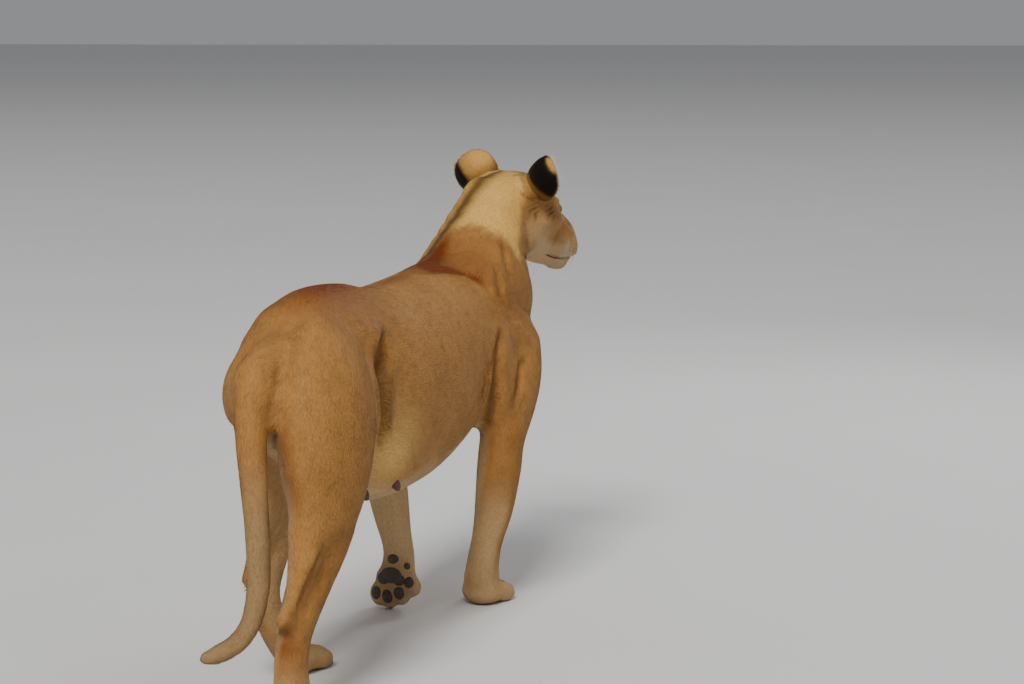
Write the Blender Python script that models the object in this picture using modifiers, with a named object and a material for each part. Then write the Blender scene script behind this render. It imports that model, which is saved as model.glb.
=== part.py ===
"""Lioness, life size, walking with her head raised and turned to her right.

Metres, +Z up. She faces -Y, so her left side is +X. The soles are flats at Z 0, and the
origin lies on the floor under the middle of her bounding box.

The body is built the way a sculptor builds one: clay masses and lofted lengths along the
bones are pressed together, remeshed and smoothed into one skin, thinned to a coarse faceted
solid, and parted with thin cuts into the pieces that a person would name.
"""

import math

import bmesh
import bpy
from mathutils import Euler, Matrix, Vector

# ---------------------------------------------------------------- driving dimensions
ORIGIN_SHIFT = Vector((0.00327, 0.05129, 0.0))  # from the modelling axes to the middle of the box
OBJECT, CUTTERS = "Lioness", "Cutters"
LEFT, RIGHT = 1, -1
FRONT = Vector((0, -1, 0))

# the head, in its own axes: origin in the middle of the braincase, facing -Y
HEAD_AT = Vector((-0.045, -0.603, 0.950))
HEAD_TURN, HEAD_NOD = math.radians(-22), math.radians(14)
HEAD_AXES = (
    Matrix.Translation(HEAD_AT)
    @ Matrix.Rotation(HEAD_TURN, 4, "Z")
    @ Matrix.Rotation(HEAD_NOD, 4, "X")
)
EYE_AT, EYE_RADIUS = Vector((0.0484, -0.1112, 0.0126)), 0.0185
SOCKET_GAP = 0.0003

EAR_HALF_WIDTH, EAR_HALF_LENGTH, EAR_DEPTH, EAR_WALL = 0.055, 0.053, 0.034, 0.014
# how far each ear swings out from facing forward, and leans away from upright, in degrees
EAR_SWING = {LEFT: 32, RIGHT: 6}
EAR_LEAN = {LEFT: 44, RIGHT: 48}
EAR_CUT = {LEFT: 0.044, RIGHT: 0.034}
EAR_CUT_HALF = 0.066

RING_SIDES, SPAN_STEPS = 24, 6
FACETS = 4640
GAP = 0.0004

# the outlines, seen from behind, of the prisms that take the legs out of the trunk
WEDGE_REACH = 0.29
FORE_OUTLINE = [(0.001, -0.1), (0.001, 0.34), (0.070, 0.42), (0.078, 0.47), (0.084, 0.70), (0.30, 0.70), (0.30, -0.1)]
HIND_OUTLINE = [(0.012, -0.1), (0.012, 0.40), (0.062, 0.50), (0.074, 0.79), (0.30, 0.79), (0.30, -0.1)]
FORE_SPAN = (-0.62, -0.165)
HIND_SPAN = {LEFT: (0.185, 0.75), RIGHT: (0.24, 0.75)}
# middle, direction and half width of the cut through each joint
FORE_JOINTS = {
    LEFT: {
        "elbow": ((0.136, -0.250, 0.400), (0.1, 0, 1), 0.10),
        "wrist": ((0.096, -0.248, 0.135), (0, 0, 1), 0.07),
    },
    RIGHT: {
        "elbow": ((-0.137, -0.335, 0.400), (0.1, 0, 1), 0.10),
        "wrist": ((-0.088, -0.338, 0.115), (0.2, -0.1, 1), 0.07),
    },
}
HIND_JOINTS = {
    LEFT: {
        "knee": ((0.103, 0.340, 0.361), (0, -0.5, 0.86), 0.14),
        "hock": ((0.097, 0.400, 0.185), (0, 0.4, 0.9), 0.08),
    },
    RIGHT: {
        "knee": ((-0.106, 0.520, 0.420), (0, 0.1, 1), 0.16),
        "hock": ((-0.095, 0.630, 0.195), (0, 0.1, 1), 0.075),
    },
}
LEG_SEGMENTS = ("upper", "lower", "paw")

# colour and roughness of each coat, and the words in the names of the nodes that wear it
COATS = {
    "coat_tan": ((0.42, 0.28, 0.16), 0.85),
    "coat_pale": ((0.55, 0.45, 0.32), 0.85),
    "coat_dark": ((0.10, 0.07, 0.05), 0.85),
    "eyeball": ((0.35, 0.20, 0.06), 0.10),
}
SLOTS = {"coat_dark": ("ear_", "tail_tip"), "coat_pale": ("paw",), "eyeball": ("eye_",)}


# ---------------------------------------------------------------- modelling tools
def through(rows, steps=SPAN_STEPS):
    """Rows of numbers, joined by a smooth Catmull-Rom curve with steps to a span."""
    ends = [rows[0], *rows, rows[-1]]
    path = []
    for a, b, c, d in zip(ends, ends[1:], ends[2:], ends[3:]):
        for step in range(steps):
            t = step / steps
            path.append(
                [
                    0.5 * (2 * q + t * (r - p) + t**2 * (2 * p - 5 * q + 4 * r - s) + t**3 * (3 * q - p - 3 * r + s))
                    for p, q, r, s in zip(a, b, c, d)
                ]
            )
    path.append(list(rows[-1]))
    return path


def power(value, exponent):
    return math.copysign(abs(value) ** exponent, value)


def loft(clay, rows, above=(0, 0, 1), square=1.0, into=Matrix.Identity(4), blunt=1.0):
    """A closed length of body. A row is x, y, z, half width, half depth above and below.

    The above direction tells the two halves of the depth apart: up on a level length, and
    to the front on a leg that hangs down. A square under 1 fills the corners out, and a
    blunt under 1 flattens the rounded far end.
    """
    path = through(rows)
    centres = [Vector(row[:3]) for row in path]
    rings = []
    for index, (centre, row) in enumerate(zip(centres, path)):
        along = (centres[min(index + 1, len(path) - 1)] - centres[max(index - 1, 0)]).normalized()
        outward = 0
        if index in (0, len(path) - 1):
            outward = -1 if index == 0 else 1
        ring_of = section(centre, along, row, Vector(above), square)
        if outward == -1:
            rings += dome(clay, ring_of, -along * min(row[3:]), into)[::-1]
        rings.append([clay.verts.new(into @ point) for point in ring_of])
        if outward == 1:
            rings += dome(clay, ring_of, along * min(row[3:]) * blunt, into)
    for near, far in zip(rings, rings[1:]):
        for k in range(RING_SIDES):
            clay.faces.new((near[k], near[k - 1], far[k - 1], far[k]))
    clay.faces.new(rings[0])
    clay.faces.new(rings[-1])


def section(centre, along, row, above, square):
    """The points of one ring of a loft."""
    across = along.cross(above).normalized()
    upward = across.cross(along)
    ring = []
    for k in range(RING_SIDES):
        turn = math.tau * k / RING_SIDES
        wide, high = power(math.cos(turn), square), power(math.sin(turn), square)
        reach = row[4] if high > 0 else row[5]
        ring.append(centre + across * (wide * row[3]) + upward * (high * reach))
    return ring


def dome(clay, ring, reach, into):
    """Rings that round the end of a loft off."""
    middle = sum(ring, Vector()) / len(ring)
    made = []
    for angle in (30, 58, 80):
        scale, rise = math.cos(math.radians(angle)), math.sin(math.radians(angle))
        made.append([clay.verts.new(into @ (middle + (point - middle) * scale + reach * rise)) for point in ring])
    return made


def mass(clay, centre, radii, tilt=(0, 0, 0), into=Matrix.Identity(4)):
    """An ellipsoid of clay, tilted by degrees about X, Y and Z."""
    turn = Euler([math.radians(angle) for angle in tilt]).to_matrix().to_4x4()
    place = into @ Matrix.Translation(centre) @ turn @ Matrix.Diagonal((*radii, 1))
    bmesh.ops.create_uvsphere(clay, u_segments=24, v_segments=14, radius=1, matrix=place)


def pair(clay, centre, radii, tilt=(0, 0, 0), into=Matrix.Identity(4)):
    """The same mass on the left and on the right."""
    for side in (LEFT, RIGHT):
        mass(
            clay,
            (side * centre[0], centre[1], centre[2]),
            radii,
            (tilt[0], side * tilt[1], side * tilt[2]),
            into,
        )


def body_object(name, clay):
    bmesh.ops.recalc_face_normals(clay, faces=clay.faces)
    mesh = bpy.data.meshes.new(name)
    clay.to_mesh(mesh)
    clay.free()
    made = bpy.data.objects.new(name, mesh)
    bpy.context.scene.collection.objects.link(made)
    return made


def apply_modifiers(obj):
    """Leaves the evaluated mesh as the object's own."""
    graph = bpy.context.evaluated_depsgraph_get()
    old = obj.data
    obj.data = bpy.data.meshes.new_from_object(obj.evaluated_get(graph))
    obj.modifiers.clear()
    bpy.data.meshes.remove(old)


def pressed(obj, voxel, rounds):
    """Presses overlapping clay into one skin and smooths the joins."""
    remesh = obj.modifiers.new("Press", "REMESH")
    remesh.mode = "VOXEL"
    remesh.voxel_size = voxel
    smooth = obj.modifiers.new("Smooth", "SMOOTH")
    smooth.factor = 0.5
    smooth.iterations = rounds
    apply_modifiers(obj)


def joined(name, objects):
    clay = bmesh.new()
    for obj in objects:
        clay.from_mesh(obj.data)
        bpy.data.objects.remove(obj)
    return body_object(name, clay)


# ---------------------------------------------------------------- the clay
# A row is x, y, z of the middle, half width, half depth above or in front, below or behind.
TRUNK = [
    (0, -0.505, 0.620, 0.060, 0.070, 0.080),
    (0, -0.460, 0.640, 0.105, 0.130, 0.150),
    (0, -0.380, 0.645, 0.138, 0.190, 0.192),
    (0, -0.290, 0.640, 0.152, 0.214, 0.220),
    (0, -0.180, 0.630, 0.162, 0.212, 0.252),
    (0, -0.050, 0.615, 0.170, 0.217, 0.264),
    (0, 0.080, 0.600, 0.172, 0.229, 0.254),
    (0, 0.180, 0.600, 0.166, 0.238, 0.240),
    (0, 0.280, 0.615, 0.148, 0.242, 0.210),
    (0, 0.360, 0.630, 0.134, 0.231, 0.170),
    (0, 0.440, 0.640, 0.124, 0.212, 0.130),
    (0, 0.520, 0.655, 0.102, 0.160, 0.110),
    (0, 0.580, 0.680, 0.074, 0.100, 0.085),
    (0, 0.605, 0.700, 0.046, 0.058, 0.055),
]
NECK = [
    (-0.008, -0.290, 0.690, 0.128, 0.155, 0.175),
    (-0.020, -0.380, 0.765, 0.136, 0.130, 0.178),
    (-0.026, -0.458, 0.845, 0.115, 0.120, 0.154),
    (-0.030, -0.522, 0.912, 0.098, 0.112, 0.120),
    (-0.036, -0.570, 0.948, 0.085, 0.097, 0.098),
]
# throat and breast, down between the shoulders
BREAST = [
    (-0.030, -0.530, 0.850, 0.076, 0.060, 0.060),
    (-0.022, -0.505, 0.760, 0.094, 0.070, 0.080),
    (-0.010, -0.480, 0.670, 0.106, 0.074, 0.090),
    (-0.002, -0.455, 0.590, 0.106, 0.080, 0.090),
    (0, -0.415, 0.520, 0.096, 0.080, 0.090),
    (0, -0.360, 0.480, 0.080, 0.060, 0.060),
]
FORELEG_RIGHT = [
    (-0.126, -0.470, 0.640, 0.052, 0.070, 0.080),
    (-0.136, -0.440, 0.560, 0.056, 0.078, 0.085),
    (-0.142, -0.375, 0.480, 0.056, 0.074, 0.080),
    (-0.138, -0.335, 0.415, 0.056, 0.066, 0.068),
    (-0.130, -0.335, 0.345, 0.056, 0.066, 0.066),
    (-0.112, -0.343, 0.240, 0.050, 0.053, 0.055),
    (-0.098, -0.338, 0.170, 0.042, 0.044, 0.046),
    (-0.088, -0.338, 0.125, 0.043, 0.043, 0.044),
    (-0.076, -0.352, 0.070, 0.047, 0.042, 0.040),
    (-0.072, -0.366, 0.040, 0.052, 0.040, 0.036),
]
FORELEG_LEFT = [
    (0.126, -0.450, 0.640, 0.052, 0.070, 0.080),
    (0.134, -0.400, 0.560, 0.056, 0.078, 0.085),
    (0.138, -0.310, 0.480, 0.056, 0.074, 0.080),
    (0.136, -0.252, 0.415, 0.056, 0.066, 0.068),
    (0.126, -0.238, 0.345, 0.055, 0.064, 0.064),
    (0.110, -0.240, 0.240, 0.049, 0.051, 0.052),
    (0.100, -0.248, 0.170, 0.042, 0.043, 0.042),
    (0.096, -0.252, 0.130, 0.045, 0.040, 0.034),
    (0.096, -0.240, 0.085, 0.054, 0.032, 0.028),
]
SKULL = [
    (0, 0.085, 0.000, 0.064, 0.062, 0.070),
    (0, 0.050, -0.002, 0.090, 0.086, 0.098),
    (0, 0.005, -0.008, 0.104, 0.100, 0.114),
    (0, -0.040, -0.012, 0.106, 0.096, 0.114),
    (0, -0.080, -0.018, 0.091, 0.083, 0.107),
    (0, -0.115, -0.028, 0.072, 0.067, 0.098),
    (0, -0.150, -0.038, 0.059, 0.055, 0.089),
    (0, -0.180, -0.044, 0.054, 0.047, 0.080),
    (0, -0.205, -0.048, 0.050, 0.040, 0.072),
    (0, -0.222, -0.050, 0.044, 0.034, 0.060),
]
BRIDGE = [
    (0, -0.060, 0.028, 0.048, 0.042, 0.040),
    (0, -0.110, 0.007, 0.039, 0.042, 0.040),
    (0, -0.158, -0.010, 0.034, 0.036, 0.040),
    (0, -0.200, -0.025, 0.033, 0.032, 0.030),
    (0, -0.225, -0.039, 0.029, 0.024, 0.020),
]
HINDLEG_RIGHT = [
    (-0.076, 0.455, 0.745, 0.058, 0.115, 0.095),
    (-0.094, 0.472, 0.690, 0.072, 0.155, 0.135),
    (-0.100, 0.488, 0.610, 0.082, 0.172, 0.156),
    (-0.105, 0.498, 0.520, 0.080, 0.150, 0.148),
    (-0.107, 0.508, 0.450, 0.070, 0.125, 0.126),
    (-0.106, 0.520, 0.400, 0.060, 0.100, 0.106),
]
SHANK_RIGHT = [
    (-0.106, 0.485, 0.450, 0.056, 0.075, 0.080),
    (-0.106, 0.488, 0.390, 0.055, 0.062, 0.080),
    (-0.104, 0.508, 0.335, 0.046, 0.050, 0.065),
    (-0.101, 0.540, 0.285, 0.038, 0.042, 0.044),
    (-0.098, 0.582, 0.238, 0.036, 0.040, 0.040),
    (-0.094, 0.620, 0.195, 0.037, 0.043, 0.044),
    (-0.090, 0.632, 0.140, 0.037, 0.044, 0.042),
    (-0.087, 0.625, 0.085, 0.039, 0.042, 0.042),
    (-0.084, 0.615, 0.045, 0.044, 0.042, 0.042),
]
HINDLEG_LEFT = [
    (0.064, 0.435, 0.735, 0.054, 0.105, 0.085),
    (0.074, 0.412, 0.680, 0.061, 0.140, 0.124),
    (0.083, 0.380, 0.610, 0.063, 0.148, 0.134),
    (0.091, 0.340, 0.535, 0.063, 0.135, 0.130),
    (0.098, 0.300, 0.470, 0.060, 0.110, 0.115),
    (0.101, 0.285, 0.420, 0.054, 0.085, 0.098),
]
SHANK_LEFT = [
    (0.104, 0.252, 0.445, 0.054, 0.060, 0.068),
    (0.104, 0.276, 0.395, 0.050, 0.054, 0.066),
    (0.103, 0.312, 0.335, 0.044, 0.045, 0.055),
    (0.102, 0.352, 0.275, 0.037, 0.038, 0.042),
    (0.100, 0.392, 0.222, 0.036, 0.039, 0.040),
    (0.097, 0.402, 0.180, 0.037, 0.042, 0.042),
    (0.092, 0.374, 0.125, 0.037, 0.039, 0.039),
    (0.085, 0.332, 0.070, 0.040, 0.036, 0.039),
    (0.080, 0.305, 0.042, 0.044, 0.038, 0.040),
]
# calf, heel cord and heel, behind each shank
CORD_RIGHT = [
    (-0.106, 0.578, 0.405, 0.046, 0.050, 0.050),
    (-0.105, 0.602, 0.350, 0.036, 0.038, 0.038),
    (-0.102, 0.630, 0.300, 0.025, 0.024, 0.024),
    (-0.098, 0.655, 0.262, 0.020, 0.020, 0.020),
    (-0.096, 0.668, 0.232, 0.023, 0.025, 0.025),
]
CORD_LEFT = [
    (0.101, 0.362, 0.410, 0.044, 0.048, 0.048),
    (0.102, 0.394, 0.355, 0.035, 0.036, 0.036),
    (0.102, 0.425, 0.305, 0.024, 0.023, 0.023),
    (0.101, 0.446, 0.270, 0.020, 0.020, 0.020),
    (0.100, 0.458, 0.243, 0.023, 0.025, 0.025),
]
TAIL = [
    (-0.008, 0.470, 0.738, 0.052, 0.046, 0.050),
    (-0.010, 0.556, 0.728, 0.048, 0.046, 0.054),
    (-0.015, 0.618, 0.690, 0.042, 0.042, 0.046),
    (-0.024, 0.657, 0.606, 0.036, 0.036, 0.036),
    (-0.034, 0.668, 0.498, 0.031, 0.030, 0.030),
    (-0.040, 0.668, 0.392, 0.028, 0.028, 0.028),
    (-0.040, 0.668, 0.300, 0.027, 0.027, 0.027),
    (-0.025, 0.672, 0.225, 0.025, 0.025, 0.025),
    (0.005, 0.680, 0.180, 0.024, 0.024, 0.024),
    (0.040, 0.690, 0.157, 0.023, 0.023, 0.023),
    (0.064, 0.697, 0.148, 0.018, 0.018, 0.018),
]


def torso_clay():
    """Trunk, neck, shoulders, haunches and legs."""
    clay = bmesh.new()
    loft(clay, TRUNK)
    loft(clay, NECK)
    for rows in (FORELEG_LEFT, FORELEG_RIGHT, HINDLEG_LEFT, HINDLEG_RIGHT):
        loft(clay, rows, FRONT)
    shoulders(clay)
    rump(clay)
    return body_object("torso", clay)


def shoulders(clay):
    for side, rows in ((LEFT, FORELEG_LEFT), (RIGHT, FORELEG_RIGHT)):
        point_y, elbow_y = rows[0][1], rows[3][1]
        # shoulder blade with its muscles, from the withers to the point of the shoulder
        loft(
            clay,
            [
                (side * 0.045, point_y + 0.155, 0.806, 0.034, 0.055, 0.060),
                (side * 0.088, point_y + 0.110, 0.745, 0.050, 0.080, 0.085),
                (side * 0.116, point_y + 0.040, 0.670, 0.054, 0.078, 0.090),
                (side * 0.130, point_y - 0.002, 0.610, 0.050, 0.066, 0.080),
            ],
            FRONT,
        )
        # triceps, from the blade's rear edge down to the elbow
        loft(
            clay,
            [
                (side * 0.112, point_y + 0.165, 0.680, 0.044, 0.070, 0.060),
                (side * 0.130, (point_y + elbow_y) / 2 + 0.085, 0.590, 0.046, 0.080, 0.062),
                (side * 0.138, elbow_y + 0.020, 0.500, 0.044, 0.070, 0.050),
                (side * 0.136, elbow_y + 0.034, 0.435, 0.034, 0.046, 0.034),
            ],
            FRONT,
        )
    # muscle of the neck on the side that she turns to
    mass(clay, (-0.092, -0.458, 0.775), (0.066, 0.082, 0.146), (-38, 0, 0))
    loft(clay, BREAST, FRONT)


def rump(clay):
    # the left half of the pelvis, which stays back while the leg swings forward
    mass(clay, (0.042, 0.420, 0.738), (0.058, 0.125, 0.084), (-16, 0, 0))
    mass(clay, (0.040, 0.490, 0.690), (0.054, 0.094, 0.096), (-10, 0, 0))
    for side in (LEFT, RIGHT):
        # point of the hip and seat bone
        mass(clay, (side * 0.074, 0.312, 0.748), (0.056, 0.115, 0.052), (12, 24, 0))
        mass(clay, (side * 0.052, 0.548, 0.660), (0.048, 0.055, 0.085), (12, 0, 0))


def shank_clay():
    clay = bmesh.new()
    for rows, cord in ((SHANK_LEFT, CORD_LEFT), (SHANK_RIGHT, CORD_RIGHT)):
        loft(clay, rows, FRONT)
        loft(clay, cord, FRONT)
        # the thin web of skin between the bone and the cord
        for near, far, wide in zip(rows[1:5], cord[0:4], (0.036, 0.026, 0.018, 0.018)):
            middle = (Vector(near[:3]) + Vector(far[:3])) / 2
            mass(clay, middle, (wide, 0.055, 0.050), (-38, 0, 0))
    return body_object("shanks", clay)


def head_clay():
    """Skull, muzzle, cheeks and jaw, without the ears."""
    clay = bmesh.new()
    axes = HEAD_AXES
    loft(clay, SKULL, square=0.86, into=axes, blunt=0.4)
    # cheek bones and jaw muscles
    pair(clay, (0.052, -0.040, -0.014), (0.059, 0.080, 0.054), (4, 0, 14), axes)
    pair(clay, (0.056, 0.000, -0.050), (0.055, 0.078, 0.066), (0, 6, 12), axes)
    # bridge of the nose and whisker pads
    loft(clay, BRIDGE, square=0.75, into=axes, blunt=0.4)
    pair(clay, (0.028, -0.192, -0.061), (0.030, 0.040, 0.035), (12, 0, 10), axes)
    # chin
    mass(clay, (0, -0.194, -0.099), (0.036, 0.034, 0.030), into=axes)
    # brows
    pair(clay, (0.045, -0.080, 0.036), (0.033, 0.040, 0.021), (24, 16, 0), axes)
    return body_object("head", clay)


def ear_clay():
    """Two round cups, open to the front and outwards."""
    clay = bmesh.new()
    for side in (LEFT, RIGHT):
        place = ear_place(side)
        cup = bmesh.ops.create_uvsphere(clay, u_segments=32, v_segments=20, radius=1)
        for vert in cup["verts"]:
            x, y, z = vert.co
            inner = y < 0
            wall = 0.78 if inner else 1.0
            across = power(x, 0.9) * EAR_HALF_WIDTH * wall
            along = EAR_HALF_LENGTH * (1.0 + power(z, 0.9) * wall)
            # the front half folds back inside the rear half, which leaves a cup with a wall
            depth = -y * (EAR_DEPTH - EAR_WALL) if inner else y * EAR_DEPTH
            # the sides curl forward
            depth -= 0.016 * abs(x) ** 2.2
            vert.co = place @ Vector((across, depth, along))
        # fleshy root of the ear
        bmesh.ops.create_uvsphere(
            clay,
            u_segments=20,
            v_segments=12,
            radius=1,
            matrix=place @ Matrix.Translation((0, 0.012, 0.004)) @ Matrix.Diagonal((0.040, 0.026, 0.032, 1)),
        )
    return body_object("ears", clay)


def toes(clay, ball, heading, width, height=0.0215):
    """Four toes in an arc before the ball of the foot."""
    turn = Matrix.Rotation(heading, 3, "Z")
    mass(clay, ball, (width * 0.47, 0.050, 0.036), (0, 0, math.degrees(heading)))
    for place in (-1.5, -0.5, 0.5, 1.5):
        reach = 0.062 - 0.009 * place**2
        toe = ball + turn @ Vector((place * width * 0.235, -reach, 0))
        toe.z = height
        mass(clay, toe, (0.0205, 0.036, 0.026), (12, 0, math.degrees(heading) + place * 6))


def paw_clay():
    clay = bmesh.new()
    toes(clay, Vector((-0.083, 0.600, 0.031)), math.radians(-2), 0.096)
    toes(clay, Vector((0.079, 0.290, 0.031)), math.radians(-3), 0.096)
    toes(clay, Vector((-0.071, -0.372, 0.032)), math.radians(-5), 0.114)
    # the left forefoot leaves the ground: sole to the rear, rolled on to its outer toe tips
    mass(clay, (0.098, -0.232, 0.088), (0.056, 0.026, 0.036), (0, 18, 0))
    for x, z in ((0.145, 0.033), (0.114, 0.027), (0.082, 0.039), (0.052, 0.064)):
        mass(clay, (x, -0.236, z), (0.0205, 0.026, 0.031), (-6, 14, 0))
    return body_object("paws", clay)


def tail_clay():
    """Hangs from the rump and swings to her left near its end."""
    clay = bmesh.new()
    loft(clay, TAIL, (0, 1, 1))
    return body_object("tail", clay)


# ---------------------------------------------------------------- assembly
def whole_body():
    torso = torso_clay()
    pressed(torso, 0.008, 16)
    shanks = shank_clay()
    pressed(shanks, 0.005, 4)
    limbs = joined("limbs", [torso, shanks])
    pressed(limbs, 0.007, 10)
    head = head_clay()
    pressed(head, 0.004, 18)
    paws = paw_clay()
    pressed(paws, 0.004, 3)
    body = joined("lioness", [limbs, head, paws, ear_clay(), tail_clay()])
    pressed(body, 0.005, 6)
    return body


def thinned(body):
    """Thins the skin to coarse facets and flattens what stands on the floor."""
    thin = body.modifiers.new("Thin", "DECIMATE")
    thin.ratio = FACETS / len(body.data.polygons) / 2
    apply_modifiers(body)
    clay = bmesh.new()
    clay.from_mesh(body.data)
    everything = [*clay.verts, *clay.edges, *clay.faces]
    bmesh.ops.bisect_plane(
        clay, geom=everything, dist=1e-6, plane_co=(0, 0, 0), plane_no=(0, 0, -1), clear_outer=True
    )
    bmesh.ops.holes_fill(clay, edges=[edge for edge in clay.edges if edge.is_boundary])
    bmesh.ops.triangulate(clay, faces=clay.faces)
    bmesh.ops.translate(clay, vec=ORIGIN_SHIFT, verts=clay.verts)
    clay.to_mesh(body.data)
    clay.free()


# ---------------------------------------------------------------- cuts
def cutter(name, cage):
    """Keeps a cutter in its own collection, out of the render."""
    mesh = bpy.data.meshes.new(name)
    cage.to_mesh(mesh)
    cage.free()
    made = bpy.data.objects.new(name, mesh)
    made.display_type = "WIRE"
    made.hide_render = True
    bpy.data.collections[CUTTERS].objects.link(made)
    return made


def slab(name, centre, normal, half=0.16):
    """A thin flat box across the body."""
    cage = bmesh.new()
    turn = Vector(normal).to_track_quat("Z", "Y").to_matrix().to_4x4()
    size = Matrix.Diagonal((2 * half, 2 * half, GAP, 1))
    place = Matrix.Translation(Vector(centre) + ORIGIN_SHIFT) @ turn @ size
    bmesh.ops.create_cube(cage, size=1, matrix=place)
    return cutter(name, cage)


def wedge(name, side, outline, front, back):
    """The thin wall of a prism, which takes a leg and its muscles out of the trunk."""
    cage = bmesh.new()
    for shrink in (0, GAP):
        corners = []
        for x, z in outline:
            grow = shrink if x < WEDGE_REACH else -shrink
            place = Vector((side * (x + grow), front + shrink, z - shrink))
            corners.append(cage.verts.new(place + ORIGIN_SHIFT))
        walls = bmesh.ops.extrude_face_region(cage, geom=[cage.faces.new(corners)])
        far = [item for item in walls["geom"] if isinstance(item, bmesh.types.BMVert)]
        bmesh.ops.translate(cage, vec=(0, back - front - 2 * shrink, 0), verts=far)
        bmesh.ops.recalc_face_normals(cage, faces=cage.faces)
    # the inner wall faces inward, so that only the shell between the two cuts
    inner = set(list(cage.verts)[2 * len(outline) :])
    bmesh.ops.reverse_faces(cage, faces=[face for face in cage.faces if set(face.verts) <= inner])
    return cutter(name, cage)


def parted(obj, *cutters):
    """Cuts an object and gives its loose pieces, each an object of its own."""
    for tool in cutters:
        cut = obj.modifiers.new(tool.name, "BOOLEAN")
        cut.operation = "DIFFERENCE"
        cut.solver = "EXACT"
        cut.object = tool
    apply_modifiers(obj)
    clay = bmesh.new()
    clay.from_mesh(obj.data)
    bmesh.ops.triangulate(clay, faces=clay.faces)
    clay.verts.ensure_lookup_table()
    clay.verts.index_update()
    waiting = {vert.index for vert in clay.verts}
    pieces = []
    while waiting:
        start = min(waiting)
        found, reached = {start}, [clay.verts[start]]
        while reached:
            near = reached.pop()
            for link in near.link_edges:
                far = link.other_vert(near)
                if far.index not in found:
                    found.add(far.index)
                    reached.append(far)
        waiting -= found
        piece = clay.copy()
        others = [vert for vert in piece.verts if vert.index not in found]
        bmesh.ops.delete(piece, geom=others, context="VERTS")
        pieces.append(body_object(obj.name, piece))
    clay.free()
    bpy.data.objects.remove(obj)
    return pieces


def nearest(pieces, place):
    """The piece whose middle lies nearest to a place."""

    def distance(piece):
        corners = [Vector(corner) for corner in piece.bound_box]
        return (sum(corners, Vector()) / len(corners) - ORIGIN_SHIFT - Vector(place)).length

    return min(pieces, key=distance)


def named(pieces, places):
    """Names each piece after the place that its box is centred on."""
    found = {}
    for name, place in places.items():
        piece = nearest(pieces, place)
        pieces.remove(piece)
        piece.name = name
        found[name] = piece
    return found


def in_head(place):
    return HEAD_AXES @ Vector(place)


def ear_place(side):
    """The axes of one ear, with Z from its root to its tip."""
    return (
        HEAD_AXES
        @ Matrix.Translation((side * 0.077, 0.006, 0.038))
        @ Matrix.Rotation(math.radians(side * EAR_SWING[side]), 4, "Z")
        @ Matrix.Rotation(math.radians(side * EAR_LEAN[side]), 4, "Y")
        @ Matrix.Rotation(math.radians(-8), 4, "X")
    )


def cut_apart(body):
    """Parts the body into head, ears, neck, trunk, legs in three segments and tail in lengths."""
    core = cut_tail(body)
    core = cut_neck(core)
    core = cut_legs(core)
    core.name = "trunk"


def cut_tail(body):
    cuts = [
        slab("cut_tail_root", (-0.024, 0.657, 0.600), (0, 0, 1), 0.055),
        slab("cut_tail_middle", (-0.040, 0.668, 0.400), (0, 0, 1), 0.050),
        slab("cut_tail_tip", (-0.030, 0.670, 0.240), (0.3, 0.1, -1), 0.045),
    ]
    places = {
        "tail_tip": (0.03, 0.69, 0.17),
        "tail_middle": (-0.04, 0.668, 0.32),
        "tail_upper": (-0.03, 0.665, 0.50),
        "core": (0, 0, 0.6),
    }
    return named(parted(body, *cuts), places)["core"]


def cut_neck(core):
    cuts = [
        slab("cut_neck", (0, -0.400, 0.780), (0, -0.555, 0.832), 0.24),
        slab("cut_head", (-0.040, -0.548, 0.930), (-0.20, -0.93, 0.31), 0.20),
    ]
    places = {"head": in_head((0, -0.08, 0)), "neck": (-0.02, -0.46, 0.85), "core": (0, 0.1, 0.5)}
    found = named(parted(core, *cuts), places)
    cuts = []
    places = {"head": in_head((0, -0.08, 0))}
    for side, word in ((LEFT, "left"), (RIGHT, "right")):
        place = ear_place(side)
        upward = place.to_3x3() @ Vector((0, 0, 1))
        cuts.append(slab("cut_ear_" + word, place @ Vector((0, 0, EAR_CUT[side])), upward, EAR_CUT_HALF))
        places["ear_" + word] = place @ Vector((0, 0, 0.07))
    set_eyes(named(parted(found["head"], *cuts), places)["head"])
    return found["core"]


def set_eyes(head):
    """Cuts the sockets and sets an eyeball in each."""
    sockets = []
    for side, word in ((LEFT, "left"), (RIGHT, "right")):
        centre = in_head((side * EYE_AT.x, EYE_AT.y, EYE_AT.z)) + ORIGIN_SHIFT
        sockets.append(ball("socket_" + word, centre, EYE_RADIUS + SOCKET_GAP, CUTTERS))
        ball("eye_" + word, centre, EYE_RADIUS, OBJECT)
    parted(head, *sockets)[0].name = "head"


def ball(name, centre, radius, group):
    cage = bmesh.new()
    bmesh.ops.create_uvsphere(cage, u_segments=16, v_segments=10, radius=radius, matrix=Matrix.Translation(centre))
    if group == CUTTERS:
        return cutter(name, cage)
    return body_object(name, cage)


def cut_legs(core):
    for side, word in ((LEFT, "left"), (RIGHT, "right")):
        fore = wedge("cut_foreleg_" + word, side, FORE_OUTLINE, *FORE_SPAN)
        hind = wedge("cut_hindleg_" + word, side, HIND_OUTLINE, *HIND_SPAN[side])
        places = {"core": (0, 0.1, 0.5), "fore": (side * 0.13, -0.37, 0.35), "hind": (side * 0.11, 0.46, 0.40)}
        found = named(parted(core, fore, hind), places)
        core = found["core"]
        for limb, joints in (("fore", FORE_JOINTS[side]), ("hind", HIND_JOINTS[side])):
            cuts = []
            for joint, (centre, normal, half) in joints.items():
                cuts.append(slab("cut_" + limb + "_" + joint + "_" + word, centre, normal, half))
            leg = parted(found[limb], *cuts)
            leg.sort(key=lambda piece: -max(corner[2] for corner in piece.bound_box))
            for piece, segment in zip(leg, LEG_SEGMENTS):
                piece.name = limb + "leg_" + word + "_" + segment
    return core


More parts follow.
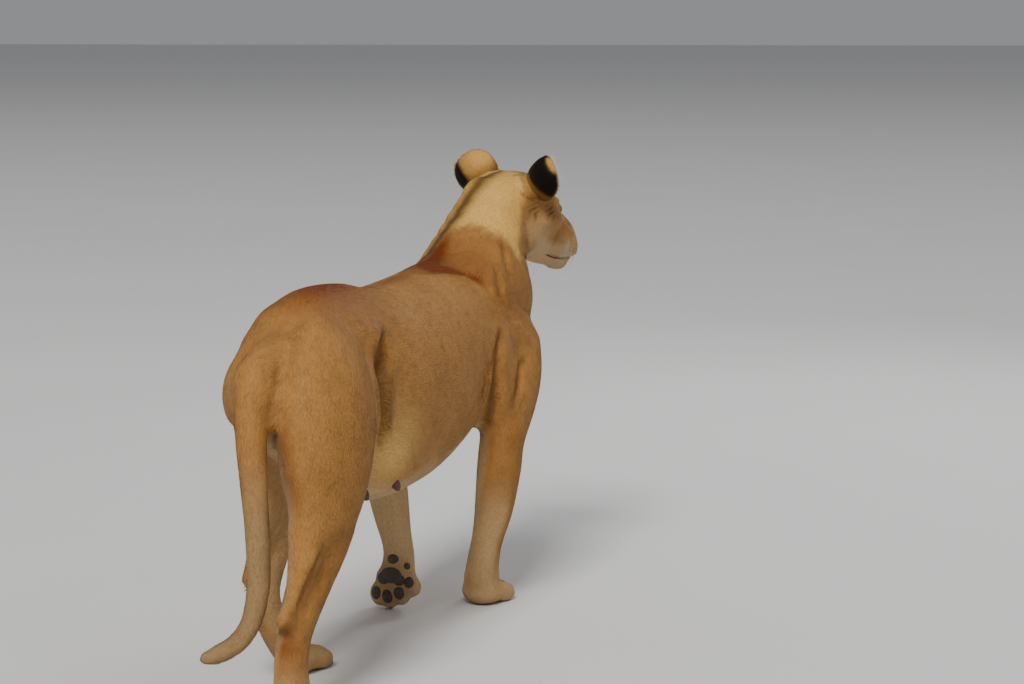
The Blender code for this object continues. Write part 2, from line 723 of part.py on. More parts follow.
def finish():
    """Gives each node its material and puts it in the object's collection."""
    for slot, (colour, roughness) in COATS.items():
        material = bpy.data.materials.new(slot)
        material.use_nodes = True
        shader = material.node_tree.nodes["Principled BSDF"]
        shader.inputs["Base Color"].default_value = (*colour, 1)
        shader.inputs["Roughness"].default_value = roughness
    for node in list(bpy.context.scene.collection.objects):
        slots = [slot for slot, words in SLOTS.items() if any(word in node.name for word in words)]
        node.data.materials.clear()
        node.data.materials.append(bpy.data.materials[slots[0] if slots else "coat_tan"])
        bpy.data.collections[OBJECT].objects.link(node)
        bpy.context.scene.collection.objects.unlink(node)


def main():
    for obj in list(bpy.data.objects):
        bpy.data.objects.remove(obj)
    for name in (OBJECT, CUTTERS):
        group = bpy.data.collections.new(name)
        bpy.context.scene.collection.children.link(group)
    body = whole_body()
    thinned(body)
    cut_apart(body)
    finish()


main()
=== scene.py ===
"""A lioness in mid stride, life size, looking to her right. Forward is -Y, her left is +X."""

import math
from contextlib import contextmanager
from types import SimpleNamespace

import bmesh
import bpy
import numpy as np
from mathutils import Euler, Matrix, Vector
from mathutils.bvhtree import BVHTree


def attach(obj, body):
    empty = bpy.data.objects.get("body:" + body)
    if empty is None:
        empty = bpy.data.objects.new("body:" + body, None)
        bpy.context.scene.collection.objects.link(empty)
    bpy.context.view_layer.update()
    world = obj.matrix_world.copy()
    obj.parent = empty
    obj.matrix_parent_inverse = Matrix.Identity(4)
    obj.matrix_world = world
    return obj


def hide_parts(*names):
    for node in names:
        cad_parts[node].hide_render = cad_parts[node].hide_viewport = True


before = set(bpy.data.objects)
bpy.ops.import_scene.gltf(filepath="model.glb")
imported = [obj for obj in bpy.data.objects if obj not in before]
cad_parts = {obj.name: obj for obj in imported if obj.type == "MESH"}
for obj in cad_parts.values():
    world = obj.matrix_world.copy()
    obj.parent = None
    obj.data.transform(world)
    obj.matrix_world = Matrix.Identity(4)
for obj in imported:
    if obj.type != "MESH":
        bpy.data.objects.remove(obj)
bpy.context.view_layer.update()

bl_info = {
    "name": "Lioness",
    "version": (1, 0, 0),
    "blender": (4, 5, 0),
    "location": "3D View > Sidebar > Lioness",
    "description": "Builds a life-size walking lioness: skin, eyes, pads, whiskers and coat",
    "category": "Add Mesh",
}

# ---------------------------------------------------------------- measures of the body
LEFT, RIGHT = 1, -1
FRONT = Vector((0, -1, 0))
STANCE = Vector((0.00327, 0.05129, 0.0))  # from the modelling axes to the frame
HEAD_AT = Vector((-0.045, -0.603, 0.950))
HEAD_AXES = (
    Matrix.Translation(HEAD_AT) @ Matrix.Rotation(math.radians(-22), 4, "Z") @ Matrix.Rotation(math.radians(14), 4, "X")
)
EYE_AT, EYE_RADIUS = Vector((0.0484, -0.1112, 0.0126)), 0.0185
EAR_HALF_WIDTH, EAR_HALF_LENGTH, EAR_DEPTH, EAR_WALL = 0.053, 0.051, 0.032, 0.008
EAR_ROUNDNESS = 0.9  # under 1, the cups are fuller than balls
EAR_SWING = {LEFT: 32, RIGHT: 6}
EAR_LEAN = {LEFT: 44, RIGHT: 48}
RING_SIDES, SPAN_STEPS = 24, 6
MASS_SIDES, MASS_RINGS = 24, 16
DOME_ANGLES = (30, 58, 80)

# A row is x, y, z of the middle, half width, half depth above or in front, below or behind.
TRUNK = [
    (0, -0.505, 0.620, 0.060, 0.070, 0.080),
    (0, -0.460, 0.640, 0.105, 0.130, 0.150),
    (0, -0.380, 0.645, 0.138, 0.190, 0.192),
    (0, -0.290, 0.640, 0.152, 0.214, 0.220),
    (0, -0.180, 0.630, 0.162, 0.212, 0.252),
    (0, -0.050, 0.615, 0.170, 0.217, 0.264),
    (0, 0.080, 0.600, 0.172, 0.229, 0.254),
    (0, 0.180, 0.600, 0.166, 0.238, 0.240),
    (0, 0.280, 0.615, 0.148, 0.242, 0.210),
    (0, 0.360, 0.630, 0.134, 0.231, 0.170),
    (0, 0.440, 0.640, 0.124, 0.212, 0.130),
    (0, 0.520, 0.655, 0.102, 0.160, 0.110),
    (0, 0.580, 0.680, 0.074, 0.100, 0.085),
    (0, 0.605, 0.700, 0.046, 0.058, 0.055),
]
NECK = [
    (-0.008, -0.290, 0.690, 0.128, 0.155, 0.175),
    (-0.020, -0.380, 0.765, 0.136, 0.130, 0.178),
    (-0.026, -0.458, 0.845, 0.115, 0.120, 0.154),
    (-0.030, -0.522, 0.912, 0.098, 0.112, 0.120),
    (-0.036, -0.570, 0.948, 0.085, 0.097, 0.098),
]
BREAST = [
    (-0.030, -0.530, 0.850, 0.076, 0.060, 0.060),
    (-0.022, -0.505, 0.760, 0.094, 0.070, 0.080),
    (-0.010, -0.480, 0.670, 0.106, 0.074, 0.090),
    (-0.002, -0.455, 0.590, 0.106, 0.080, 0.090),
    (0, -0.415, 0.520, 0.096, 0.080, 0.090),
    (0, -0.360, 0.480, 0.080, 0.060, 0.060),
]
FORELEG_RIGHT = [
    (-0.126, -0.470, 0.640, 0.052, 0.070, 0.080),
    (-0.136, -0.440, 0.560, 0.056, 0.078, 0.085),
    (-0.142, -0.375, 0.480, 0.056, 0.074, 0.080),
    (-0.138, -0.335, 0.415, 0.056, 0.066, 0.068),
    (-0.130, -0.335, 0.345, 0.056, 0.066, 0.066),
    (-0.112, -0.343, 0.240, 0.050, 0.053, 0.055),
    (-0.098, -0.338, 0.170, 0.042, 0.044, 0.046),
    (-0.088, -0.338, 0.125, 0.043, 0.043, 0.044),
    (-0.076, -0.352, 0.070, 0.047, 0.042, 0.040),
    (-0.072, -0.366, 0.040, 0.052, 0.040, 0.036),
]
FORELEG_LEFT = [
    (0.126, -0.450, 0.640, 0.052, 0.070, 0.080),
    (0.134, -0.400, 0.560, 0.056, 0.078, 0.085),
    (0.138, -0.310, 0.480, 0.056, 0.074, 0.080),
    (0.136, -0.252, 0.415, 0.056, 0.066, 0.068),
    (0.126, -0.238, 0.345, 0.055, 0.064, 0.064),
    (0.110, -0.240, 0.240, 0.049, 0.051, 0.052),
    (0.100, -0.248, 0.170, 0.042, 0.043, 0.042),
    (0.096, -0.252, 0.130, 0.045, 0.040, 0.034),
    (0.096, -0.240, 0.085, 0.054, 0.032, 0.028),
]
SKULL = [
    (0, 0.085, 0.000, 0.064, 0.062, 0.070),
    (0, 0.050, -0.002, 0.090, 0.086, 0.098),
    (0, 0.005, -0.008, 0.104, 0.100, 0.114),
    (0, -0.040, -0.012, 0.106, 0.096, 0.114),
    (0, -0.080, -0.018, 0.091, 0.083, 0.107),
    (0, -0.115, -0.028, 0.072, 0.067, 0.098),
    (0, -0.150, -0.038, 0.059, 0.055, 0.089),
    (0, -0.180, -0.044, 0.054, 0.047, 0.080),
    (0, -0.205, -0.048, 0.050, 0.040, 0.072),
    (0, -0.222, -0.050, 0.044, 0.034, 0.060),
]
BRIDGE = [
    (0, -0.060, 0.028, 0.048, 0.042, 0.040),
    (0, -0.110, 0.007, 0.039, 0.042, 0.040),
    (0, -0.158, -0.010, 0.034, 0.036, 0.040),
    (0, -0.200, -0.025, 0.033, 0.032, 0.030),
    (0, -0.225, -0.039, 0.029, 0.024, 0.020),
]
HINDLEG_RIGHT = [
    (-0.076, 0.455, 0.745, 0.058, 0.115, 0.095),
    (-0.094, 0.472, 0.690, 0.072, 0.155, 0.135),
    (-0.100, 0.488, 0.610, 0.082, 0.172, 0.156),
    (-0.105, 0.498, 0.520, 0.080, 0.150, 0.148),
    (-0.107, 0.508, 0.450, 0.070, 0.125, 0.126),
    (-0.106, 0.520, 0.400, 0.060, 0.100, 0.106),
]
SHANK_RIGHT = [
    (-0.106, 0.485, 0.450, 0.056, 0.075, 0.080),
    (-0.106, 0.488, 0.390, 0.055, 0.062, 0.080),
    (-0.104, 0.508, 0.335, 0.046, 0.050, 0.065),
    (-0.101, 0.540, 0.285, 0.038, 0.042, 0.044),
    (-0.098, 0.582, 0.238, 0.036, 0.040, 0.040),
    (-0.094, 0.620, 0.195, 0.037, 0.043, 0.044),
    (-0.090, 0.632, 0.140, 0.037, 0.044, 0.042),
    (-0.087, 0.625, 0.085, 0.039, 0.042, 0.042),
    (-0.084, 0.615, 0.045, 0.044, 0.042, 0.042),
]
HINDLEG_LEFT = [
    (0.064, 0.435, 0.735, 0.054, 0.105, 0.085),
    (0.074, 0.412, 0.680, 0.061, 0.140, 0.124),
    (0.083, 0.380, 0.610, 0.063, 0.148, 0.134),
    (0.091, 0.340, 0.535, 0.063, 0.135, 0.130),
    (0.098, 0.300, 0.470, 0.060, 0.110, 0.115),
    (0.101, 0.285, 0.420, 0.054, 0.085, 0.098),
]
SHANK_LEFT = [
    (0.104, 0.252, 0.445, 0.054, 0.060, 0.068),
    (0.104, 0.276, 0.395, 0.050, 0.054, 0.066),
    (0.103, 0.312, 0.335, 0.044, 0.045, 0.055),
    (0.102, 0.352, 0.275, 0.037, 0.038, 0.042),
    (0.100, 0.392, 0.222, 0.036, 0.039, 0.040),
    (0.097, 0.402, 0.180, 0.037, 0.042, 0.042),
    (0.092, 0.374, 0.125, 0.037, 0.039, 0.039),
    (0.085, 0.332, 0.070, 0.040, 0.036, 0.039),
    (0.080, 0.305, 0.042, 0.044, 0.038, 0.040),
]
CORD_RIGHT = [
    (-0.106, 0.578, 0.405, 0.046, 0.050, 0.050),
    (-0.105, 0.602, 0.350, 0.036, 0.038, 0.038),
    (-0.102, 0.630, 0.300, 0.025, 0.024, 0.024),
    (-0.098, 0.655, 0.262, 0.020, 0.020, 0.020),
    (-0.096, 0.668, 0.232, 0.023, 0.025, 0.025),
]
CORD_LEFT = [
    (0.101, 0.362, 0.410, 0.044, 0.048, 0.048),
    (0.102, 0.394, 0.355, 0.035, 0.036, 0.036),
    (0.102, 0.425, 0.305, 0.024, 0.023, 0.023),
    (0.101, 0.446, 0.270, 0.020, 0.020, 0.020),
    (0.100, 0.458, 0.243, 0.023, 0.025, 0.025),
]
TAIL = [
    (-0.008, 0.470, 0.738, 0.052, 0.046, 0.050),
    (-0.010, 0.556, 0.728, 0.048, 0.046, 0.054),
    (-0.015, 0.618, 0.690, 0.042, 0.042, 0.046),
    (-0.024, 0.657, 0.606, 0.036, 0.036, 0.036),
    (-0.034, 0.668, 0.498, 0.031, 0.030, 0.030),
    (-0.040, 0.668, 0.392, 0.028, 0.028, 0.028),
    (-0.040, 0.668, 0.300, 0.027, 0.027, 0.027),
    (-0.025, 0.672, 0.225, 0.025, 0.025, 0.025),
    (0.005, 0.680, 0.180, 0.024, 0.024, 0.024),
    (0.040, 0.690, 0.157, 0.023, 0.023, 0.023),
    (0.064, 0.697, 0.148, 0.018, 0.018, 0.018),
]


def bone(rows, share):
    """The middle line of a leg's rows, with a share of the depth as its radius."""
    return [(*row[:3], row[4] * share) for row in rows]


# lines of bone that the coat's lie follows: points with a radius, in the order that the hair points
LIE = {
    "trunk": [
        (0, -0.46, 0.64, 0.15), (0, -0.20, 0.62, 0.20), (0, 0.08, 0.60, 0.20), (0, 0.36, 0.62, 0.18),
        (0, 0.56, 0.66, 0.10),
    ],
    "neck": [
        (-0.036, -0.57, 0.948, 0.09), (-0.030, -0.522, 0.912, 0.10), (-0.020, -0.40, 0.79, 0.14),
        (-0.008, -0.29, 0.69, 0.15),
    ],
    "tail": [row[:4] for row in TAIL[2:]],
    "foreleg_left": bone(FORELEG_LEFT, 1.0),
    "foreleg_right": bone(FORELEG_RIGHT, 1.0),
    "hindleg_left": bone(HINDLEG_LEFT[1:] + SHANK_LEFT[2:], 0.8),
    "hindleg_right": bone(HINDLEG_RIGHT[1:] + SHANK_RIGHT[2:], 0.8),
    "paw_fore_left": [(0.098, -0.240, 0.100, 0.045), (0.100, -0.236, 0.030, 0.040)],
    "paw_fore_right": [(-0.072, -0.350, 0.050, 0.045), (-0.068, -0.440, 0.022, 0.040)],
    "paw_hind_left": [(0.080, 0.310, 0.050, 0.045), (0.078, 0.222, 0.020, 0.038)],
    "paw_hind_right": [(-0.083, 0.620, 0.050, 0.045), (-0.081, 0.532, 0.020, 0.038)],
}
HEAD_LIE = [(0, -0.225, -0.045, 0.040), (0, -0.15, -0.035, 0.062), (0, -0.05, -0.005, 0.095), (0, 0.06, 0.0, 0.095)]


# ---------------------------------------------------------------- settings
def colour_setting(name, description, default):
    return bpy.props.FloatVectorProperty(
        name=name, description=description, default=default, size=3, min=0, max=1, subtype="COLOR"
    )


def number_setting(name, description, default, unit="NONE"):
    return bpy.props.FloatProperty(name=name, description=description, default=default, min=0, unit=unit, precision=4)


class LionessColours(bpy.types.PropertyGroup):
    """Colours of the coat and the bare parts."""

    tawny: colour_setting("Tawny", "Flanks and thighs", (0.430, 0.202, 0.052))
    # umber is also painted as shade along the folds of the body
    umber: colour_setting("Umber", "Flecks in the tawny coat", (0.200, 0.088, 0.022))
    rufous: colour_setting("Rufous", "Croup, withers and the base of the nape", (0.165, 0.029, 0.001))
    sand: colour_setting("Sand", "Nape and sides of the neck", (0.760, 0.440, 0.110))
    cream: colour_setting("Cream", "Belly, insides of the legs, chin", (0.580, 0.400, 0.200))
    ash: colour_setting("Ash", "Tail and greyish hairs", (0.350, 0.225, 0.105))
    # black is also painted as shade in the deepest folds, the pocket before the right thigh and deep in the ears' cups
    black: colour_setting("Black", "Backs of the ears and the lips", (0.007, 0.005, 0.004))
    nose: colour_setting("Nose", "Bare nose leather", (0.105, 0.048, 0.034))
    pad: colour_setting("Pads", "Bare pads under the paws", (0.070, 0.053, 0.044))
    iris: colour_setting("Iris", "Amber of the eye", (0.420, 0.190, 0.030))
    whisker: colour_setting("Whiskers", "Whiskers and fringe hairs", (0.780, 0.700, 0.560))


class LionessSizes(bpy.types.PropertyGroup):
    """Sizes of the coat and the fine parts."""

    coat_depth: number_setting("Coat depth", "Depth of the coat on the body", 0.0040, "LENGTH")
    hair_length: number_setting("Hair length", "Length of a tuft on the flank", 0.0150, "LENGTH")
    hair_width: number_setting("Hair width", "Width of a tuft on the flank", 0.0017, "LENGTH")
    whisker_length: number_setting("Whisker length", "Length of the longest whisker", 0.095, "LENGTH")
    coat_density: number_setting("Coat density", "Tufts to a square metre of flank", 210000)


class LionessStage(bpy.types.PropertyGroup):
    """Floor, lights and camera."""

    floor: colour_setting("Floor", "Colour of the floor", (0.72, 0.71, 0.69))
    key: number_setting("Key light", "Power of the main light", 13400, "POWER")
    front: number_setting("Front light", "Power of the light on the face", 45, "POWER")
    fill: number_setting("Fill light", "Power of the fill", 15, "POWER")
    sky: number_setting("Sky", "Strength of the light from all round", 0.30)
    lens: number_setting("Lens", "Focal length of the camera", 72.3, "CAMERA")


# ---------------------------------------------------------------- clay tools
def through(rows, steps=SPAN_STEPS):
    """Rows of numbers, joined by a smooth Catmull-Rom curve with steps to a span."""
    ends = [rows[0], *rows, rows[-1]]
    path = []
    for a, b, c, d in zip(ends, ends[1:], ends[2:], ends[3:]):
        for step in range(steps):
            t = step / steps
            path.append(
                [
                    0.5 * (2 * q + t * (r - p) + t**2 * (2 * p - 5 * q + 4 * r - s) + t**3 * (3 * q - p - 3 * r + s))
                    for p, q, r, s in zip(a, b, c, d)
                ]
            )
    path.append(list(rows[-1]))
    return path


def power(value, exponent):
    return math.copysign(abs(value) ** exponent, value)


def loft(clay, rows, above=(0, 0, 1), square=1.0, into=Matrix.Identity(4), blunt=1.0):
    """A closed length of body through rings, rounded at both ends."""
    path = through(rows)
    centres = [Vector(row[:3]) for row in path]
    last = len(path) - 1
    rings = []
    for index, (centre, row) in enumerate(zip(centres, path)):
        along = (centres[min(index + 1, last)] - centres[max(index - 1, 0)]).normalized()
        ring = section(centre, along, row, Vector(above), square)
        if index == 0:
            rings += dome(ring, -along * min(row[3:]))[::-1]
        rings.append(ring)
        if index == last:
            rings += dome(ring, along * min(row[3:]) * blunt)
    made = [[clay.verts.new(into @ point) for point in ring] for ring in rings]
    bridged(clay, made)
    clay.faces.new(made[0])
    clay.faces.new(made[-1])


def bridged(cage, rings):
    """Lays faces between each ring of points and the next."""
    for near, far in zip(rings, rings[1:]):
        for k in range(len(near)):
            cage.faces.new((near[k], near[k - 1], far[k - 1], far[k]))


def section(centre, along, row, above, square):
    """The points of one ring."""
    across = along.cross(above).normalized()
    upward = across.cross(along)
    ring = []
    for k in range(RING_SIDES):
        turn = math.tau * k / RING_SIDES
        wide, high = power(math.cos(turn), square), power(math.sin(turn), square)
        ring.append(centre + across * (wide * row[3]) + upward * (high * row[4 if high > 0 else 5]))
    return ring


def dome(ring, reach):
    """Rings that round the end of a length off."""
    middle = sum(ring, Vector()) / len(ring)
    made = []
    for angle in DOME_ANGLES:
        scale, rise = math.cos(math.radians(angle)), math.sin(math.radians(angle))
        made.append([middle + (point - middle) * scale + reach * rise for point in ring])
    return made


def mass(clay, centre, radii, tilt=(0, 0, 0), into=Matrix.Identity(4)):
    """An ellipsoid, tilted by degrees about X, Y and Z."""
    turn = Euler([math.radians(angle) for angle in tilt]).to_matrix().to_4x4()
    place = into @ Matrix.Translation(centre) @ turn @ Matrix.Diagonal((*radii, 1))
    bmesh.ops.create_uvsphere(clay, u_segments=MASS_SIDES, v_segments=MASS_RINGS, radius=1, matrix=place)


def pair(clay, centre, radii, tilt=(0, 0, 0), into=Matrix.Identity(4)):
    """The same mass on the left and on the right."""
    for side in (LEFT, RIGHT):
        place = (side * centre[0], centre[1], centre[2])
        mass(clay, place, radii, (tilt[0], side * tilt[1], side * tilt[2]), into)


def piece_of(name, cage):
    """Turns a cage into an object at the origin."""
    bmesh.ops.recalc_face_normals(cage, faces=cage.faces)
    mesh = bpy.data.meshes.new(name)
    cage.to_mesh(mesh)
    cage.free()
    mesh.shade_smooth()
    return placed(name, mesh)


def placed(name, content):
    """Puts a mesh, lamp or camera in the scene as an object at the origin."""
    made = bpy.data.objects.new(name, content)
    bpy.context.scene.collection.objects.link(made)
    return made


def pressed(obj, voxel, rounds):
    """Presses overlapping clay into one skin and smooths the joins."""
    remesh = obj.modifiers.new("Press", "REMESH")
    remesh.mode = "VOXEL"
    remesh.voxel_size = voxel
    smooth = obj.modifiers.new("Smooth", "SMOOTH")
    smooth.factor = 0.5
    smooth.iterations = rounds
    graph = bpy.context.evaluated_depsgraph_get()
    old = obj.data
    obj.data = bpy.data.meshes.new_from_object(obj.evaluated_get(graph))
    obj.modifiers.clear()
    bpy.data.meshes.remove(old)
    return obj


def joined(name, objects):
    cage = bmesh.new()
    for obj in objects:
        cage.from_mesh(obj.data)
        bpy.data.objects.remove(obj)
    return piece_of(name, cage)


# ---------------------------------------------------------------- clay of the body
def torso_clay():
    clay = bmesh.new()
    loft(clay, TRUNK)
    loft(clay, NECK)
    for rows in (BREAST, FORELEG_LEFT, FORELEG_RIGHT, HINDLEG_LEFT, HINDLEG_RIGHT):
        loft(clay, rows, FRONT)
    for side, rows in ((LEFT, FORELEG_LEFT), (RIGHT, FORELEG_RIGHT)):
        point_y, elbow_y = rows[0][1], rows[3][1]
        blade = [
            (side * 0.045, point_y + 0.155, 0.806, 0.034, 0.055, 0.060),
            (side * 0.088, point_y + 0.110, 0.745, 0.050, 0.080, 0.085),
            (side * 0.116, point_y + 0.040, 0.670, 0.054, 0.078, 0.090),
            (side * 0.130, point_y - 0.002, 0.610, 0.050, 0.066, 0.080),
        ]
        triceps = [
            (side * 0.112, point_y + 0.165, 0.680, 0.044, 0.070, 0.060),
            (side * 0.130, (point_y + elbow_y) / 2 + 0.085, 0.590, 0.046, 0.080, 0.062),
            (side * 0.138, elbow_y + 0.020, 0.500, 0.044, 0.070, 0.050),
            (side * 0.136, elbow_y + 0.034, 0.435, 0.034, 0.046, 0.034),
        ]
        loft(clay, blade, FRONT)
        loft(clay, triceps, FRONT)
        # point of the hip and seat bone
        mass(clay, (side * 0.074, 0.312, 0.748), (0.056, 0.115, 0.052), (12, 24, 0))
        mass(clay, (side * 0.052, 0.548, 0.660), (0.048, 0.055, 0.085), (12, 0, 0))
    # the right side of the neck's root, and her left croup
    mass(clay, (-0.092, -0.458, 0.775), (0.066, 0.082, 0.146), (-38, 0, 0))
    mass(clay, (0.042, 0.420, 0.738), (0.058, 0.125, 0.084), (-16, 0, 0))
    mass(clay, (0.040, 0.490, 0.690), (0.054, 0.094, 0.096), (-10, 0, 0))
    return piece_of("torso", clay)


def shank_clay():
    clay = bmesh.new()
    for rows, cord in ((SHANK_LEFT, CORD_LEFT), (SHANK_RIGHT, CORD_RIGHT)):
        loft(clay, rows, FRONT)
        loft(clay, cord, FRONT)
        # the thin web of skin between the bone and the cord
        for near, far, wide in zip(rows[1:5], cord[0:4], (0.036, 0.026, 0.018, 0.018)):
            middle = (Vector(near[:3]) + Vector(far[:3])) / 2
            mass(clay, middle, (wide, 0.055, 0.050), (-38, 0, 0))
    return piece_of("shanks", clay)


def head_clay():
    """Skull, muzzle, cheeks and jaw, without the ears."""
    clay = bmesh.new()
    axes = HEAD_AXES
    loft(clay, SKULL, square=0.86, into=axes, blunt=0.4)
    pair(clay, (0.052, -0.040, -0.014), (0.059, 0.080, 0.054), (4, 0, 14), axes)
    pair(clay, (0.056, 0.000, -0.050), (0.055, 0.078, 0.066), (0, 6, 12), axes)
    loft(clay, BRIDGE, square=0.75, into=axes, blunt=0.4)
    pair(clay, (0.028, -0.192, -0.061), (0.030, 0.040, 0.035), (12, 0, 10), axes)
    mass(clay, (0, -0.194, -0.099), (0.036, 0.034, 0.030), into=axes)
    pair(clay, (0.045, -0.080, 0.036), (0.033, 0.040, 0.021), (24, 16, 0), axes)
    # fleshy roots of the ears
    for side in (LEFT, RIGHT):
        root = ear_place(side) @ Matrix.Translation((0, 0.010, 0.012))
        mass(clay, (0, 0, 0), (0.042, 0.026, 0.034), into=root)
    return piece_of("head", clay)


def ear_place(side):
    """The axes of one ear, with Z from its root to its tip and -Y into the cup."""
    return (
        HEAD_AXES
        @ Matrix.Translation((side * 0.077, 0.006, 0.038))
        @ Matrix.Rotation(math.radians(side * EAR_SWING[side]), 4, "Z")
        @ Matrix.Rotation(math.radians(side * EAR_LEAN[side]), 4, "Y")
        @ Matrix.Rotation(math.radians(-8), 4, "X")
    )


# Paws that stand: the ball of the foot, the degrees that it turns, and its width.
STANDING = (
    ((-0.083, 0.600, 0.031), -2, 0.096), ((0.079, 0.290, 0.031), -3, 0.096), ((-0.071, -0.372, 0.032), -5, 0.114),
)
TOE_HEIGHT = 0.0215
# The lifted paw shows its sole to the rear: x and z of its toes.
LIFTED_TOES = ((0.145, 0.033), (0.114, 0.027), (0.082, 0.039), (0.052, 0.064))


def toes(clay, ball, heading, width):
    """The ball of a foot, and four toes in an arc before it."""
    turn = Matrix.Rotation(heading, 3, "Z")
    mass(clay, ball, (width * 0.47, 0.050, 0.036), (0, 0, math.degrees(heading)))
    for place in (-1.5, -0.5, 0.5, 1.5):
        toe = ball + turn @ Vector((place * width * 0.235, -0.062 + 0.009 * place**2, 0))
        toe.z = TOE_HEIGHT
        mass(clay, toe, (0.0205, 0.036, 0.026), (12, 0, math.degrees(heading) + place * 6))


def paw_clay():
    clay = bmesh.new()
    for ball, heading, width in STANDING:
        toes(clay, Vector(ball), math.radians(heading), width)
    # the left forefoot leaves the ground: sole to the rear, on its outer toe tips
    mass(clay, (0.098, -0.232, 0.088), (0.056, 0.026, 0.036), (0, 18, 0))
    for x, z in LIFTED_TOES:
        mass(clay, (x, -0.236, z), (0.0205, 0.026, 0.031), (-6, 14, 0))
    return piece_of("paws", clay)


def tail_clay():
    clay = bmesh.new()
    loft(clay, TAIL, (0, 1, 1))
    return piece_of("tail", clay)


def body_clay(voxel):
    """The whole body but for the ears, as one closed skin."""
    limbs = pressed(joined("limbs", [pressed(torso_clay(), 0.008, 16), pressed(shank_clay(), 0.005, 4)]), 0.007, 10)
    head = pressed(head_clay(), 0.004, 18)
    paws = pressed(paw_clay(), 0.004, 3)
    return pressed(joined("skin", [limbs, head, paws, tail_clay()]), voxel, 5)


# ---------------------------------------------------------------- numbers over a surface
def read(items, name):
    """A vector of each item, as rows of an array."""
    found = np.empty(len(items) * 3)
    items.foreach_get(name, found)
    return found.reshape(-1, 3)


def spots_of(mesh):
    return read(mesh.vertices, "co")


def normals_of(mesh):
    return read(mesh.vertex_normals, "vector")


def move_spots(mesh, spots):
    mesh.vertices.foreach_set("co", spots.astype(np.float32).ravel())
    mesh.update()


def into(matrix, spots):
    """The same spots in the axes of a matrix."""
    turn = np.array(matrix.inverted())
    return spots @ turn[:3, :3].T + turn[:3, 3]


def ramp(value, low, high):
    """0 below low, 1 above high, smooth between."""
    share = np.clip((value - low) / (high - low), 0, 1)
    return share * share * (3 - 2 * share)


def bump(spots, centre, radii):
    """A soft bump that is 1 at its centre."""
    away = (spots - np.array(centre)) / np.array(radii)
    return np.exp(-(away**2).sum(1))


def bumps(spots, places):
    return sum(bump(spots, place, radii) for place, radii in places)


def unit(vectors):
    return vectors / np.maximum(np.linalg.norm(vectors, axis=1, keepdims=True), 1e-9)


def follow(spots, line):
    """How far each spot is from a line in radii, the line's direction there, the length run, and the turn round it."""
    line = np.array(line, float)
    count = len(spots)
    away, run, turn = np.full(count, 1e9), np.zeros(count), np.zeros(count)
    heading = np.zeros((count, 3))
    before = 0.0
    for near, far in zip(line, line[1:]):
        span = far[:3] - near[:3]
        length = np.linalg.norm(span)
        share = np.clip((spots - near[:3]) @ span / length**2, 0, 1)
        off = spots - near[:3] - share[:, None] * span
        distance = np.linalg.norm(off, axis=1) / (near[3] + share * (far[3] - near[3]))
        closer = distance < away
        along = span / length
        aside = np.cross(along, (1, 0, 0.01))
        aside /= np.linalg.norm(aside)
        away[closer], heading[closer] = distance[closer], along
        run[closer] = before + share[closer] * length
        turn[closer] = np.arctan2(off[closer] @ np.cross(along, aside), off[closer] @ aside)
        before += length
    return away, heading, run, turn


REGIONS = ["head", *LIE]


def survey(spots):
    """The region of each spot, the lie of its coat, and its place on an unwrap of that region."""
    inside_head = into(HEAD_AXES, spots)
    away, _, run, turn = follow(inside_head, HEAD_LIE)
    back = np.array(HEAD_AXES)[:3, :3]
    swept = unit(inside_head - np.array((0, -0.260, -0.040)))
    found = [(away * 0.86 + ramp(inside_head[:, 1], 0.03, 0.10) * 0.8, swept @ back.T, run, turn)]
    found += [follow(spots, line) for line in LIE.values()]
    distances = np.stack([item[0] for item in found])
    nearest = distances.argmin(0)
    weights = np.maximum(distances, 0.05) ** -7
    lie = sum(weight[:, None] * item[1] for weight, item in zip(weights, found))
    picked = np.arange(len(spots))
    run = np.stack([item[2] for item in found])[nearest, picked]
    turn = np.stack([item[3] for item in found])[nearest, picked]
    return nearest, unit(lie), run, turn


# ---------------------------------------------------------------- skin
# Strokes on the head, in its own axes: place, radii, and how far the skin comes out. Each has its mirror image.
HEAD_STROKES = [
    ((0.046, -0.110, 0.038), (0.024, 0.016, 0.009), 0.0075),  # brow
    ((0.024, -0.126, 0.008), (0.008, 0.016, 0.012), -0.0050),  # hollow at the inner corner of the eye
    ((0.054, -0.126, -0.014), (0.018, 0.018, 0.007), 0.0020),  # bag under the eye
    ((0.080, -0.078, -0.012), (0.018, 0.034, 0.012), 0.0040),  # cheek bone
    ((0.050, -0.150, -0.036), (0.018, 0.022, 0.020), -0.0060),  # hollow before the whisker pad
    ((0.034, -0.206, -0.066), (0.017, 0.022, 0.017), 0.0080),  # whisker pad
    ((0.036, -0.178, -0.014), (0.010, 0.034, 0.010), -0.0045),  # edge of the nose bridge
    ((0.022, -0.230, -0.040), (0.008, 0.010, 0.008), 0.0040),  # wing of the nostril
    ((0.031, -0.226, -0.050), (0.006, 0.012, 0.012), -0.0035),  # crease beside the nose
    ((0.000, -0.216, -0.110), (0.026, 0.022, 0.016), 0.0060),  # chin
    ((0.045, -0.120, -0.102), (0.026, 0.040, 0.018), -0.0030),  # under the jaw
    ((0.082, -0.006, -0.070), (0.026, 0.038, 0.028), 0.0050),  # ruff on the cheek
    ((0.106, -0.020, -0.032), (0.022, 0.050, 0.016), 0.0040),  # between cheek bone and ruff
    ((0.000, -0.060, 0.066), (0.008, 0.050, 0.014), -0.0022),  # furrow of the forehead
    ((0.030, -0.040, 0.078), (0.022, 0.040, 0.016), 0.0016),  # halves of the forehead
    ((0.066, -0.034, 0.056), (0.014, 0.022, 0.012), -0.0030),  # hollow before the ear
]
# nostrils: place, radii, and how far back and out they go
NOSTRILS = [((0.0130, -0.2350, -0.0440), (0.0052, 0.014, 0.0040), (0.0010, 0.0130, 0.0010)),
            ((0.0210, -0.2290, -0.0405), (0.0060, 0.014, 0.0026), (-0.0020, 0.0075, 0.0006))]
